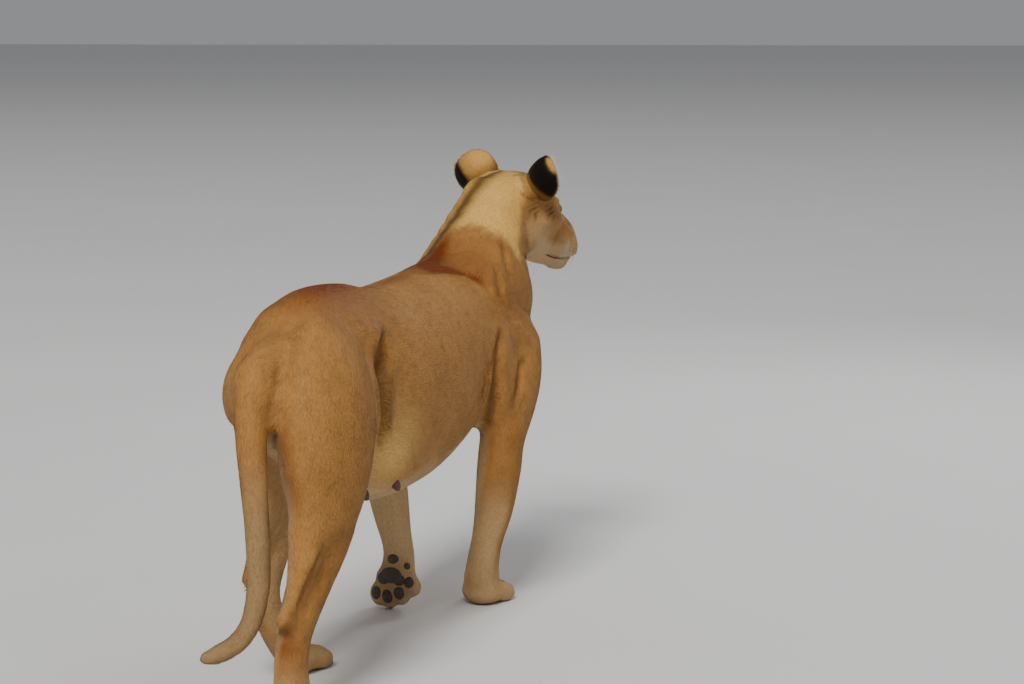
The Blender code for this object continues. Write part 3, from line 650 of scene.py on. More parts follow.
# the mouth's height along the muzzle
MOUTH = [(-0.245, -0.076), (-0.228, -0.081), (-0.206, -0.091), (-0.180, -0.098), (-0.150, -0.100), (-0.110, -0.097)]
MOUTH_CORNER = -0.122
# folds of the body: points of each line with its half width, and its depth, which also sets the shade painted along the
# fold
FOLDS = (
    # between the right thigh and the flank
    ([(-0.121, 0.250, 0.758, 0.010), (-0.123, 0.264, 0.742, 0.014), (-0.129, 0.289, 0.704, 0.019),
      (-0.133, 0.317, 0.666, 0.019), (-0.137, 0.322, 0.610, 0.016), (-0.134, 0.310, 0.560, 0.011),
      (-0.136, 0.285, 0.500, 0.008)], 0.0230),
    # behind the right elbow, up to the shoulder blade
    ([(-0.150, -0.296, 0.690, 0.010), (-0.152, -0.288, 0.668, 0.012), (-0.154, -0.268, 0.630, 0.013),
      (-0.153, -0.261, 0.593, 0.013), (-0.146, -0.266, 0.535, 0.014), (-0.136, -0.272, 0.477, 0.012)], 0.0120),
    ([(-0.167, -0.397, 0.608, 0.009), (-0.173, -0.349, 0.560, 0.011), (-0.176, -0.311, 0.509, 0.009)], 0.0080),
    ([(-0.153, -0.218, 0.619, 0.008), (-0.151, -0.201, 0.570, 0.009), (-0.150, -0.190, 0.530, 0.008)], 0.0060),
    # between the shin and the cord of the right hock, and across the back of its thigh
    ([(-0.136, 0.585, 0.375, 0.008), (-0.130, 0.602, 0.330, 0.009), (-0.124, 0.625, 0.288, 0.008),
      (-0.116, 0.645, 0.252, 0.006)], 0.0070),
    ([(-0.070, 0.634, 0.540, 0.006), (-0.095, 0.622, 0.528, 0.008), (-0.118, 0.590, 0.512, 0.006)], 0.0050),
    # side of the neck on the side that she turns to
    ([(-0.108, -0.399, 0.896, 0.006), (-0.125, -0.385, 0.864, 0.008), (-0.136, -0.377, 0.830, 0.009),
      (-0.148, -0.375, 0.778, 0.008)], 0.0060),
    ([(-0.119, -0.332, 0.829, 0.007), (-0.134, -0.330, 0.801, 0.010), (-0.140, -0.323, 0.771, 0.010),
      (-0.144, -0.331, 0.752, 0.008)], 0.0065),
    ([(-0.018, -0.373, 0.921, 0.006), (-0.044, -0.383, 0.928, 0.006), (-0.070, -0.388, 0.921, 0.006),
      (-0.096, -0.393, 0.904, 0.006), (-0.107, -0.409, 0.903, 0.006)], 0.0022),
    # across the withers, where the neck bends up
    ([(-0.012, -0.100, 0.828, 0.010), (-0.043, -0.175, 0.829, 0.011), (-0.077, -0.253, 0.819, 0.012),
      (-0.113, -0.281, 0.795, 0.012), (-0.133, -0.300, 0.768, 0.010)], 0.0042),
    # beside the root of the tail
    ([(-0.053, 0.594, 0.726, 0.006), (-0.056, 0.630, 0.656, 0.007), (-0.038, 0.600, 0.610, 0.006)], 0.0060),
    # the same on her left, behind the elbow and before the thigh
    ([(0.150, -0.225, 0.668, 0.008), (0.154, -0.198, 0.630, 0.009), (0.152, -0.190, 0.593, 0.009),
      (0.144, -0.192, 0.535, 0.010)], 0.0070),
    ([(0.123, 0.200, 0.700, 0.009), (0.130, 0.205, 0.640, 0.011), (0.132, 0.190, 0.580, 0.010),
      (0.126, 0.180, 0.530, 0.008)], 0.0080),
    # from the hip bones down to the flank
    ([(-0.126, 0.215, 0.705, 0.008), (-0.140, 0.190, 0.660, 0.010), (-0.146, 0.185, 0.615, 0.008)], 0.0035),
)
# swellings and hollows of the body: place, radii, and how far the skin comes out
BODY_STROKES = (
    ((-0.090, 0.195, 0.412), (0.040, 0.065, 0.045), 0.0110),  # udder, right
    ((0.080, 0.195, 0.412), (0.040, 0.065, 0.045), 0.0080),  # udder, left
    ((-0.122, 0.250, 0.706), (0.040, 0.030, 0.045), -0.0070),  # hollow of the right flank
    ((-0.118, 0.400, 0.760), (0.030, 0.060, 0.030), 0.0040),  # point of the right hip
    ((-0.165, 0.500, 0.640), (0.040, 0.050, 0.090), 0.0040),  # muscle of the right thigh
    ((-0.066, 0.450, 0.796), (0.034, 0.045, 0.030), 0.0120),  # between the croup and the right thigh
    ((0.066, 0.420, 0.796), (0.034, 0.045, 0.030), 0.0060),  # the same on her left
    ((-0.150, -0.330, 0.660), (0.030, 0.030, 0.060), 0.0040),  # edge of the right shoulder blade
    ((0.150, -0.290, 0.660), (0.030, 0.030, 0.060), 0.0040),  # edge of the left shoulder blade
    ((-0.155, -0.090, 0.560), (0.050, 0.060, 0.090), 0.0030),  # ribs
    ((0.155, -0.060, 0.560), (0.050, 0.060, 0.090), 0.0030),
)
# where loose skin wrinkles: place and radii
BEHIND_SHOULDERS = (((-0.15, -0.225, 0.57), (0.06, 0.05, 0.10)), ((0.15, -0.15, 0.57), (0.06, 0.05, 0.10)))
LOOSE_SKIN = (((-0.13, 0.20, 0.50), (0.06, 0.09, 0.09)), ((0.13, 0.12, 0.48), (0.06, 0.09, 0.09)))
LID_TILT, LID_HALF, LID_UP, LID_DOWN = math.radians(15), 0.0150, 0.0074, 0.0066
GAZE_AXIS = (0.42, -0.90, 0.05)  # the way that the left eye's opening faces
BODY_VOXEL = 0.0090
LEAST_HEIGHT = 0.0012  # of the skin under the paws


@contextmanager
def opened(skin):
    """The skin's mesh as a cage, put back afterwards."""
    cage = bmesh.new()
    cage.from_mesh(skin.data)
    yield cage
    cage.to_mesh(skin.data)
    cage.free()


def finer(skin, inside, smooth):
    """Splits the edges inside a place in two, and smooths it in some rounds."""
    chosen = inside(spots_of(skin.data))
    with opened(skin) as cage:
        edges = [edge for edge in cage.edges if all(chosen[vert.index] for vert in edge.verts)]
        bmesh.ops.subdivide_edges(cage, edges=edges, cuts=1, use_grid_fill=True)
        chosen = inside(np.array([vert.co for vert in cage.verts]))
        verts = [vert for vert, wanted in zip(cage.verts, chosen) if wanted]
        for _ in range(smooth):
            bmesh.ops.smooth_vert(cage, verts=verts, factor=0.5, use_axis_x=True, use_axis_y=True, use_axis_z=True)


def in_face(reach):
    """Tests which spots lie on the head, ahead of a reach behind its middle."""

    def inside(spots):
        local = into(HEAD_AXES, spots)
        return (local[:, 1] < reach) & (np.linalg.norm(local, axis=1) < 0.30) & (local[:, 2] > -0.16)

    return inside


def near_eyes(spots):
    local = into(HEAD_AXES, spots)
    return np.linalg.norm(np.column_stack([np.abs(local[:, 0]), local[:, 1:]]) - np.array(EYE_AT), axis=1) < 0.030


def near_folds(spots):
    return np.min([follow(spots, line)[0] for line, _ in FOLDS], axis=0) < 1.9


def eye_at(side):
    return np.array((side * EYE_AT.x, EYE_AT.y, EYE_AT.z))


def eye_axes(side):
    """Across, up and forward of one eye's opening, with the slant of the lids."""
    forward = np.array(Vector((side * GAZE_AXIS[0], *GAZE_AXIS[1:])).normalized())
    across = np.cross((0, 0, 1.0), forward) * -side
    across /= np.linalg.norm(across)
    upward = np.cross(forward, across) * -side
    slant_across = across * math.cos(LID_TILT) + upward * math.sin(LID_TILT)
    slant_up = upward * math.cos(LID_TILT) - across * math.sin(LID_TILT)
    return slant_across, slant_up, forward


def almond(local, side):
    """How far outside the opening of an eye's lids a spot is: under 1 is inside."""
    across, upward, forward = eye_axes(side)
    off = local - eye_at(side)
    wide, high = off @ across / LID_HALF, off @ upward
    tall = np.where(high > 0, LID_UP, LID_DOWN)
    # the inner corner is long and thin, the outer one round
    tall = tall * np.where(wide < 0, 1 - 0.25 * np.clip(-wide, 0, 1), 1.0)
    return np.sqrt(wide**2 + (high / tall) ** 2), off @ forward


def over_mouth(local):
    """How far each spot is over the line of the mouth, which rises to the nose in front."""
    line = np.array(MOUTH)
    height = np.interp(local[:, 1], line[:, 0], line[:, 1])
    rise = 0.012 * np.exp(-((local[:, 0] / 0.014) ** 2)) * (1 - ramp(local[:, 1], -0.224, -0.206))
    return local[:, 2] - height - rise


def sculpt_head(skin):
    mesh = skin.data
    local = into(HEAD_AXES, spots_of(mesh))
    on_head = (local[:, 1] < 0.12) & (np.linalg.norm(local, axis=1) < 0.32)
    turn = np.array(HEAD_AXES)[:3, :3]
    normal = normals_of(mesh) @ turn
    mirrored = local * (-1, 1, 1)
    push = np.zeros(len(local))
    for place, radii, amount in HEAD_STROKES:
        push += amount * bump(local, place, radii)
        if place[0] > 0:
            push += amount * bump(mirrored, place, radii)
    # groove of the mouth, and the groove from it up to the nose
    off = over_mouth(local)
    reach = 1 - ramp(local[:, 1], MOUTH_CORNER - 0.015, MOUTH_CORNER + 0.008)
    push -= reach * 0.0056 * np.exp(-((off / 0.0030) ** 2))
    push += reach * 0.0030 * np.exp(-(((off - 0.0070) / 0.0050) ** 2))
    push += reach * 0.0008 * np.exp(-(((off + 0.0070) / 0.0045) ** 2))
    front = 1 - ramp(local[:, 1], -0.222, -0.208)
    groove = ramp(local[:, 2], -0.074, -0.068) * (1 - ramp(local[:, 2], -0.054, -0.048))
    push -= front * 0.0042 * np.exp(-((local[:, 0] / 0.0028) ** 2)) * groove
    moved = local + normal * (push * on_head)[:, None]
    for side in (LEFT, RIGHT):
        for place, radii, shift in NOSTRILS:
            pit = bump(local, (side * place[0], *place[1:]), radii) * on_head
            moved += pit[:, None] * np.array((side * shift[0], *shift[1:]))
    # the skin round each eye lies on a ball, and inside the lids it sinks behind the eye
    for side in (LEFT, RIGHT):
        centre = eye_at(side)
        outside, ahead = almond(moved, side)
        off = moved - centre
        distance = np.linalg.norm(off, axis=1)
        near = (distance < 0.050) & (ahead > -0.004)
        wanted = EYE_RADIUS + 0.0034 - 0.0100 * (1 - ramp(outside, 0.92, 1.06))
        weight = np.where(near, 1 - ramp(outside, 1.15, 2.0), 0) * ramp(ahead, -0.002, 0.006)
        target = centre + off / np.maximum(distance, 1e-6)[:, None] * wanted[:, None]
        moved += weight[:, None] * (target - moved)
        off = moved - centre
        distance = np.linalg.norm(off, axis=1)
        least = EYE_RADIUS + 0.0040
        under = (distance < least) & (outside > 1.10)
        moved[under] = centre + off[under] / distance[under, None] * least
    world = moved @ turn.T + np.array(HEAD_AXES.translation)
    spots = spots_of(mesh)
    spots[on_head] = world[on_head]
    move_spots(mesh, spots)


def sculpt_body(skin):
    mesh = skin.data
    spots, normal = spots_of(mesh), normals_of(mesh)
    push = sum(amount * bump(spots, place, radii) for place, radii, amount in BODY_STROKES)
    for line, depth in FOLDS:
        away, _, run, _ = follow(spots, line)
        length = sum(math.dist(a[:3], b[:3]) for a, b in zip(line, line[1:]))
        fade = ramp(run, 0, length * 0.25) * (1 - ramp(run, length * 0.75, length))
        push += depth * fade * (0.35 * np.exp(-((away - 2.2) ** 2)) - np.exp(-(away**2)))
    # wrinkles of loose skin: on the neck they run round it, behind the shoulder they hang
    away, _, along, turn = follow(spots, LIE["neck"])
    on_neck = ramp(along, 0.02, 0.08) * (1 - ramp(along, 0.26, 0.34)) * (away < 1.6) * (spots[:, 1] < -0.30)
    push += on_neck * 0.0011 * np.sin(along * 150 + 1.6 * np.sin(turn * 3) + 0.8 * np.sin(turn * 7))
    _, y, z = spots.T
    push += bumps(spots, BEHIND_SHOULDERS) * 0.0016 * np.sin(y * 330 + z * 60 + 1.5 * np.sin(z * 50))
    push += bumps(spots, LOOSE_SKIN) * 0.0014 * np.sin(z * 210 - y * 120 + 1.2 * np.sin(y * 60))
    move_spots(mesh, spots + normal * push[:, None])


def coat_depth_at(spots, depth):
    """How deep the coat is over each spot."""
    local = into(HEAD_AXES, spots)
    face = 1 - ramp(local[:, 1], -0.03, 0.06)
    low = 1 - ramp(spots[:, 2], 0.05, 0.14)
    return depth * (1 - 0.55 * face) * (1 - 0.6 * low) * ~near_ears(spots)[0]


def ear_fold(across):
    """How far the edge of an ear curls forward, by how far across it lies."""
    return 0.016 * abs(across) ** 2.2


def ears():
    """Two round cups, open to the front and outwards, with a fold at the outer edge."""
    clay = bmesh.new()
    for side in (LEFT, RIGHT):
        place = ear_place(side)
        cup = bmesh.ops.create_uvsphere(clay, u_segments=56, v_segments=34, radius=1)
        for vert in cup["verts"]:
            x, y, z = vert.co
            inner = y < 0
            wall = 0.88 if inner else 1.0
            across = power(x, EAR_ROUNDNESS) * EAR_HALF_WIDTH * wall
            along = EAR_HALF_LENGTH * (1.0 + power(z, EAR_ROUNDNESS) * wall)
            depth = -y * (EAR_DEPTH - EAR_WALL) if inner else y * EAR_DEPTH
            vert.co = place @ Vector((across, depth - ear_fold(x), along))
    return piece_of("ears", clay)


def skin_clay(sizes):
    """The bare body, inside the coat."""
    skin = body_clay(BODY_VOXEL)
    finer(skin, in_face(-0.01), 1)
    finer(skin, in_face(-0.075), 2)
    finer(skin, near_eyes, 1)
    finer(skin, in_face(-0.198), 1)
    finer(skin, near_folds, 0)
    sculpt_body(skin)
    sculpt_head(skin)
    skin = joined("lioness_skin", [skin, ears()])
    spots, normal = spots_of(skin.data), normals_of(skin.data)
    spots -= normal * coat_depth_at(spots, sizes.coat_depth)[:, None]
    spots[:, 2] = np.maximum(spots[:, 2], LEAST_HEIGHT)
    move_spots(skin.data, spots)
    with opened(skin) as cage:
        bmesh.ops.triangulate(cage, faces=cage.faces)
    return skin


# ---------------------------------------------------------------- markings
# Across the back: x of a place, with y of the nape's lower edge and y of the fold over the withers.
NAPE_ARC = ((-0.160, -0.500), (-0.152, -0.465), (-0.138, -0.428), (-0.107, -0.409), (-0.096, -0.395), (-0.070, -0.388),
            (-0.044, -0.383), (0.0, -0.372), (0.03, -0.350), (0.06, -0.325), (0.13, -0.340))
WITHERS_FOLD = ((-0.150, -0.330), (-0.133, -0.300), (-0.113, -0.281), (-0.077, -0.253), (-0.043, -0.175),
                (-0.017, -0.123), (-0.004, -0.040), (0.004, -0.040), (0.02, -0.110), (0.06, -0.190), (0.12, -0.290))
# Lines with a half width: the deepest rufous, the crest, and the painted shadow of the pocket between the right thigh
# and the flank.
RUFOUS_HOOK = ((0.010, -0.430, 0.960, 0.010), (0.016, -0.365, 0.905, 0.018), (0.014, -0.315, 0.868, 0.026),
               (0.006, -0.240, 0.845, 0.032), (-0.022, -0.195, 0.838, 0.030), (-0.062, -0.228, 0.824, 0.022),
               (-0.104, -0.276, 0.804, 0.014))
CREST = ((0.054, -0.310, 0.847, 0.005), (0.037, -0.345, 0.874, 0.008), (0.014, -0.394, 0.928, 0.010),
         (-0.004, -0.439, 0.975, 0.010), (-0.012, -0.490, 1.009, 0.010), (-0.020, -0.550, 1.036, 0.010),
         (-0.028, -0.600, 1.045, 0.006))
# painted shadow in the pocket before the right thigh, laid as black
PAINTED_POCKET_SHADE = ((-0.128, 0.256, 0.738, 0.012), (-0.136, 0.280, 0.694, 0.020), (-0.141, 0.292, 0.640, 0.021),
          (-0.142, 0.284, 0.575, 0.018), (-0.142, 0.262, 0.510, 0.012))
# Soft spots on the body: place and radii.
RUFOUS_SPOTS = (
    ((-0.092, 0.668, 0.190), (0.040, 0.026, 0.040)), ((0.100, 0.448, 0.200), (0.040, 0.026, 0.040)),  # hocks
    ((-0.080, 0.630, 0.520), (0.024, 0.030, 0.075)),  # back of the right thigh
    ((-0.150, -0.330, 0.430), (0.030, 0.040, 0.060)), ((0.150, -0.245, 0.430), (0.030, 0.040, 0.060)),  # elbows
)
GROIN_SPOTS = (((-0.130, 0.240, 0.490), (0.050, 0.085, 0.085)), ((0.125, 0.170, 0.480), (0.050, 0.080, 0.080)))
FLECKS = (((-0.106, 0.340, 0.785), (0.02, 0.0045, 0.0055)), ((-0.152, 0.029, 0.692), (0.02, 0.0045, 0.008)))
SOILED_SOLE = ((0.098, -0.212, 0.062), (0.060, 0.020, 0.060))
# Soft spots on the head, in its own axes: strength, place and radii. Each has its mirror image.
PALE_OF_HEAD = (
    (1.0, (0.034, -0.208, -0.064), (0.028, 0.032, 0.026)),  # whisker pad
    (1.1, (0.046, -0.130, -0.005), (0.022, 0.024, 0.0085)),  # under the eye
    (1.0, (0.040, -0.112, 0.036), (0.018, 0.018, 0.009)),  # over the eye
    (0.6, (0.042, -0.178, -0.070), (0.030, 0.044, 0.026)),  # side of the muzzle
    (0.8, (0.088, -0.020, -0.052), (0.050, 0.050, 0.034)),  # cheek
)
CHEEK_SPOTS = (
    (1.0, (0.100, 0.010, -0.010), (0.040, 0.016, 0.020)), (1.0, (0.100, -0.044, 0.000), (0.040, 0.018, 0.020)),
)
CHEEK_STREAKS = (
    (0.55, (0.066, -0.120, -0.052), (0.030, 0.012, 0.036)), (0.5, (0.080, 0.030, -0.100), (0.040, 0.040, 0.026)),
)
# The nose leather's half width at heights from its foot to its top.
NOSE_HALF = ((-0.064, 0.002), (-0.057, 0.0045), (-0.050, 0.013), (-0.044, 0.0225), (-0.037, 0.0255), (-0.030, 0.0245),
             (-0.024, 0.0200), (-0.020, 0.0100))


def twins(local, marks):
    """Soft spots on both halves of the head."""
    return sum(
        strength * sum(bump(local * (side, 1, 1), place, radii) for side in (LEFT, RIGHT))
        for strength, place, radii in marks
    )


def whisker_root(row, step):
    """Where a whisker of the left lip stands, in the head's axes."""
    return 0.036 + 0.004 * step, -0.220 + 0.010 * step, -0.050 - 0.0080 * row


def back_marks(spots, normal, local, named):
    """Sand nape, rufous withers and croup, and the dark crest."""
    x, y, z = spots.T
    ragged = 0.0022 * np.sin(x * 190 + 2 * np.sin(z * 90)) + 0.0018 * np.sin(z * 230 + x * 120)
    below_arc = y - np.interp(x, *zip(*NAPE_ARC))
    on_neck = (named["neck"] | named["head"] | named["trunk"]) & (z > 0.70) & (y < -0.02)
    behind_ears = ramp(local[:, 1] + 0.35 * np.clip(local[:, 2], -0.1, 0.1), 0.030, 0.062)
    sand = (1 - ramp(below_arc + ragged, -0.014, 0.018)) * behind_ears * on_neck
    sand *= 0.45 + 0.55 * ramp(normal[:, 2], -0.45, 0.2)
    sand *= (1 - 0.9 * ramp(x, 0.000, 0.110)) * (0.25 + 0.75 * ramp(z, 0.74, 0.86))
    past_fold = y - np.interp(x, *zip(*WITHERS_FOLD))
    nape = ramp(below_arc + ragged, -0.010, 0.034) * (1 - ramp(past_fold + 0.6 * ragged, -0.012, 0.004)) * on_neck
    # it is deepest along that fold and on her left, and fades to tan up the side of the neck
    tint = (0.20 + 0.26 * ramp(below_arc, 0.0, 0.10)) * np.interp(x, (-0.130, -0.090), (0.4, 1.0))
    nape *= np.clip(tint + 0.85 * beside(spots, RUFOUS_HOOK), 0, 1)
    croup = ramp(y, 0.10, 0.28) * (1 - ramp(y, 0.36, 0.52)) * ramp(normal[:, 2], 0.25, 0.85)
    croup *= 0.34 + 0.56 * np.exp(-(((x + 0.010) / 0.050) ** 2))
    spine = np.exp(-((x / 0.020) ** 2)) * (y > -0.10) * (y < 0.45) * ramp(normal[:, 2], 0.6, 0.9) * 0.5
    rufous = np.clip(np.maximum.reduce([nape, croup, spine, 0.75 * bumps(spots, RUFOUS_SPOTS)]), 0, 1)
    return sand, rufous, beside(spots, CREST, 2.3) * (y < -0.28)


def beside(spots, line, reach=1.0):
    """1 on a line, and less away from it, over its half width times a reach."""
    return np.exp(-((follow(spots, line)[0] / reach) ** 2))


def pale_marks(spots, normal, named):
    """Underside, insides of the legs, feet and backs of the forelegs."""
    x, y, z = spots.T
    trunk = named["trunk"] | named["neck"]
    belly = ramp(-normal[:, 2], 0.35, 0.85) * (1 - ramp(z, 0.50, 0.62)) * np.where(trunk, 1, ramp(z, 0.34, 0.52))
    inside = np.zeros(len(spots))
    for side, word in ((LEFT, "left"), (RIGHT, "right")):
        leg = sum(named[name] for name in REGIONS if word in name) > 0
        leg |= trunk & (side * x > 0)
        inside = np.maximum(inside, leg * ramp(-side * normal[:, 0], -0.05, 0.75))
    inside *= (1 - ramp(z, 0.48, 0.62)) * (1 - 0.50 * ramp(y, 0.0, 0.2))
    low = 1 - ramp(z, 0.06, 0.17)
    # the lifted foreleg is pale all the way across its back
    lifted, standing = (named[f"foreleg_{word}"] | named[f"paw_fore_{word}"] for word in ("left", "right"))
    rear = ramp(normal[:, 1], -0.45, 0.15) * (1 - ramp(z, 0.40, 0.50)) * lifted
    rear += 0.7 * ramp(normal[:, 1], 0.0, 0.6) * (1 - ramp(z, 0.22, 0.36)) * standing
    groin = bumps(spots, GROIN_SPOTS)
    return np.clip(np.maximum.reduce([belly, inside, 0.55 * low, 0.2 * groin, 0.9 * rear]), 0, 1), np.minimum(groin, 1)


def eye_rims(local):
    """The black round the lids and down from the inner corners of the eyes."""
    rims = np.zeros(len(local))
    for side in (LEFT, RIGHT):
        outside, ahead = almond(local, side)
        near = (np.linalg.norm(local - eye_at(side), axis=1) < 0.035) & (ahead > 0)
        rims = np.maximum(rims, near * (1 - ramp(outside, 1.16, 1.34)))
        tear = bump(local, (side * 0.0285, -0.1270, 0.0005), (0.0045, 0.012, 0.0080))
        tear += 0.6 * bump(local, (side * 0.0262, -0.1360, -0.0120), (0.0036, 0.014, 0.0090))
        rims = np.maximum(rims, 0.9 * np.clip(tear * 1.4, 0, 1))
    return rims


def muzzle_marks(local):
    """Black of the lips, nostrils and the groove between, the nose leather, and the spots where whiskers stand."""
    across, ahead, high = local.T
    lips = np.exp(-((np.abs(over_mouth(local) + 0.0010) / 0.0026) ** 4))
    lips *= 1 - ramp(ahead, MOUTH_CORNER - 0.006, MOUTH_CORNER + 0.010)
    groove = np.exp(-((across / 0.0022) ** 2)) * (1 - ramp(ahead, -0.225, -0.215))
    groove *= ramp(high, -0.076, -0.072) * (1 - ramp(high, -0.054, -0.050))
    mirrors = [local * (side, 1, 1) for side in (LEFT, RIGHT)]
    pits = sum(
        bump(mirror, place, np.array(radii) * (0.9, 2.4, 0.9)) for mirror in mirrors for place, radii, _ in NOSTRILS
    )
    roots = sum(
        bump(mirror, whisker_root(row, step), (0.018, 0.0026, 0.0024))
        for mirror in mirrors for row in range(4) for step in range(4)
    )
    half = np.interp(high, *zip(*NOSE_HALF))
    nose = (1 - ramp(ahead, -0.223, -0.216)) * (1 - ramp(np.abs(across) - half, -0.0008, 0.0012))
    nose *= ramp(high, -0.065, -0.063) * (1 - ramp(high, -0.022, -0.018))
    return np.maximum.reduce([lips, 0.9 * pits, 0.7 * groove]), nose, roots


def ear_marks(spots, normal, made):
    """Ears are black behind with a tan base, and pale inside, with painted shade deep in the cup."""
    for side in (LEFT, RIGHT):
        place = ear_place(side)
        ear = into(place, spots)
        across, depth, high = ear.T
        on_ear = (np.abs(across) < 0.062) & (high > 0.004) & (high < 0.12) & (np.abs(depth) < 0.042)
        facing = normal @ np.array(place)[:3, :3]
        rear = ramp(facing[:, 1], -0.05, 0.30) * on_ear
        if side == RIGHT:
            black = rear * ramp(high, 0.030, 0.044) * (1 - ramp(high, 0.090, 0.100))
        else:
            black = rear * ramp(across, 0.016, 0.030) * ramp(high, 0.020, 0.040)
        hollow = ramp(depth + ear_fold(across / EAR_HALF_WIDTH), -0.006, -0.001)
        inner = on_ear * (1 - ramp(facing[:, 1], -0.35, 0.05)) * hollow * ramp(high, 0.016, 0.030)
        # painted shade: black laid deep in the hollow of the cup
        deep = bump(ear, (0.004, 0.012, 0.048), (0.026, 0.030, 0.030)) * inner
        made["black"] = np.maximum.reduce([made["black"], black, 0.55 * deep])
        made["cream"] = np.maximum(made["cream"], 0.9 * inner)
        made["umber"] = np.maximum(made["umber"], rear * (1 - ramp(high, 0.03, 0.06)) * 0.6)


def markings(spots, normal):
    """Masks of the coat's markings and of the shade painted in folds and ears, from where a spot lies on the body."""
    local = into(HEAD_AXES, spots)
    head = 1 - ramp(local[:, 1], 0.02, 0.09)
    head *= 1 - ramp(np.linalg.norm(local, axis=1), 0.19, 0.30)
    region, _, run, _ = survey(spots)
    named = {name: region == index for index, name in enumerate(REGIONS)}
    made = {}
    sand, made["rufous"], made["crest"] = back_marks(spots, normal, local, named)
    cream, groin = pale_marks(spots, normal, named)
    made["sand"] = np.maximum(sand, groin)
    chin = (1 - ramp(local[:, 2], -0.085, -0.055)) * (1 - ramp(local[:, 1], -0.05, 0.02))
    made["cream"] = np.clip(cream + head * np.clip(chin + twins(local, PALE_OF_HEAD), 0, 1), 0, 1)
    made["ash"] = named["tail"] * ramp(run, 0.10, 0.30)

    strands = 0.62 + 0.38 * np.sin(local[:, 1] * 340 + local[:, 2] * 300 + 2 * np.sin(local[:, 2] * 140))
    cheek = twins(local, CHEEK_SPOTS)
    dark_of_head = np.clip((cheek + twins(local, CHEEK_STREAKS)) * strands, 0, 1) * head
    in_folds = [(follow(spots, line)[0], depth) for line, depth in FOLDS]
    # painted shade: umber along every fold, stronger for deeper folds
    painted_crease_shade = sum(np.exp(-(away / 0.9) ** 2) * min(depth * 80, 1.0) for away, depth in in_folds)
    soiled = bump(spots, *SOILED_SOLE) * ramp(normal[:, 1], 0.2, 0.6)
    umber = np.clip(dark_of_head + bumps(spots, FLECKS) + 0.8 * painted_crease_shade + 0.45 * soiled, 0, 1)

    muzzle, nose, roots = muzzle_marks(local)
    made["nose"] = nose * head
    made["umber"] = np.clip(umber + roots * head, 0, 1)
    # painted shade: black laid in the deepest folds and in the pocket between the right thigh and the flank
    shade = sum(np.exp(-(away ** 2)) * min(max(depth - 0.005, 0) * 45, 0.72) for away, depth in in_folds)
    shade = np.maximum(shade, 0.55 * beside(spots, PAINTED_POCKET_SHADE) * ramp(spots[:, 2], 0.49, 0.62))
    on_head = np.maximum.reduce([eye_rims(local), muzzle, 0.45 * cheek * strands]) * head
    made["black"] = np.clip(np.maximum(on_head, shade), 0, 1)
    ear_marks(spots, normal, made)
    made["pad"] = (1 - ramp(spots[:, 2], 0.004, 0.010)) * ramp(-normal[:, 2], 0.5, 0.8)
    return made


# the umber and black masks also hold the shade painted in folds and ears
MARKS = {
    "marks_warm": ("rufous", "sand", "cream"),
    "marks_dark": ("umber", "black", "ash"),
    "marks_fine": ("crest", "nose", "pad"),
}


def store(mesh, name, values, kind="FLOAT"):
    """Keeps a number, or a vector, for each vertex of a mesh."""
    layer = mesh.attributes.new(name, kind, "POINT")
    layer.data.foreach_set("value" if kind == "FLOAT" else "vector", np.asarray(values, np.float32).ravel())


def paint(mesh, made):
    """Stores the masks on a mesh, three to an attribute."""
    for name, parts in MARKS.items():
        store(mesh, name, np.stack([made[part] for part in parts], 1), "FLOAT_VECTOR")


# ---------------------------------------------------------------- coat
# region group: length, width, lift of the tip and number to a square metre, each against the flank's
GROUPS = {
    "trunk": (1.0, 1.0, 1.0, 1.0),
    "neck": (0.95, 0.95, 1.0, 1.1),
    "foreleg": (0.75, 0.85, 0.8, 1.3),
    "hindleg": (0.85, 0.90, 0.9, 1.2),
    "tail": (0.90, 0.90, 1.0, 1.2),
    "head": (0.52, 0.62, 0.70, 2.4),
    "paw": (0.50, 0.65, 0.6, 2.2),
    "ear": (0.62, 0.60, 1.0, 2.4),
}
GROUP_NAMES = np.array(list(GROUPS))
WHOLE_GROUPS = ("tail", "ear")  # their left and right sides stay in one piece
MOST_TUFTS = 95000
ROOT_DEPTH, BEND_AT, BEND_HEIGHT = 0.0006, 0.42, 0.0004  # how deep a root is, and where the tuft bends
STRAYS = 0.025  # share of the tips that stand out
LAID_REACH = 0.012  # a tip farther than this from the skin stays where it is
FLOOR_GAP = 0.0006
PATCH = 0.0015  # half the size of a tuft on its map


def group_of(region, on_ear):
    """The number of the region group of each spot."""
    numbers = [next(rank for rank, group in enumerate(GROUPS) if name.startswith(group)) for name in REGIONS]
    return np.where(on_ear, list(GROUPS).index("ear"), np.array(numbers)[region])


def near_ears(spots):
    """Whether each spot lies on an ear, and the way to the ear's tip."""
    found, lie = np.zeros(len(spots), bool), np.zeros((len(spots), 3))
    for side in (LEFT, RIGHT):
        place = ear_place(side)
        across, depth, high = into(place, spots).T
        here = (np.abs(across) < 0.060) & (high > 0.012) & (high < 0.125) & (np.abs(depth) < 0.045)
        found |= here
        fan = np.stack([across * 0.6, np.zeros(len(spots)), np.full(len(spots), 0.06)], 1)
        lie[here] = (unit(fan) @ np.array(place)[:3, :3].T)[here]
    return found, lie


def fineness(spots):
    """How large the tufts are against the rest of their region: they get small towards the nose."""
    local = into(HEAD_AXES, spots)
    return 1 - 0.42 * (1 - ramp(local[:, 1], -0.17, 0.02)) * (np.linalg.norm(local, axis=1) < 0.30)


def triangles_of(mesh):
    """The corners of each triangle, in an order that is the same in each run."""
    mesh.calc_loop_triangles()
    corners = np.empty(len(mesh.loop_triangles) * 3, np.int32)
    mesh.loop_triangles.foreach_get("vertices", corners)
    corners = corners.reshape(-1, 3)
    corners = np.take_along_axis(corners, (corners.argmin(1)[:, None] + np.arange(3)) % 3, 1)
    return corners[np.lexsort(corners.T)]


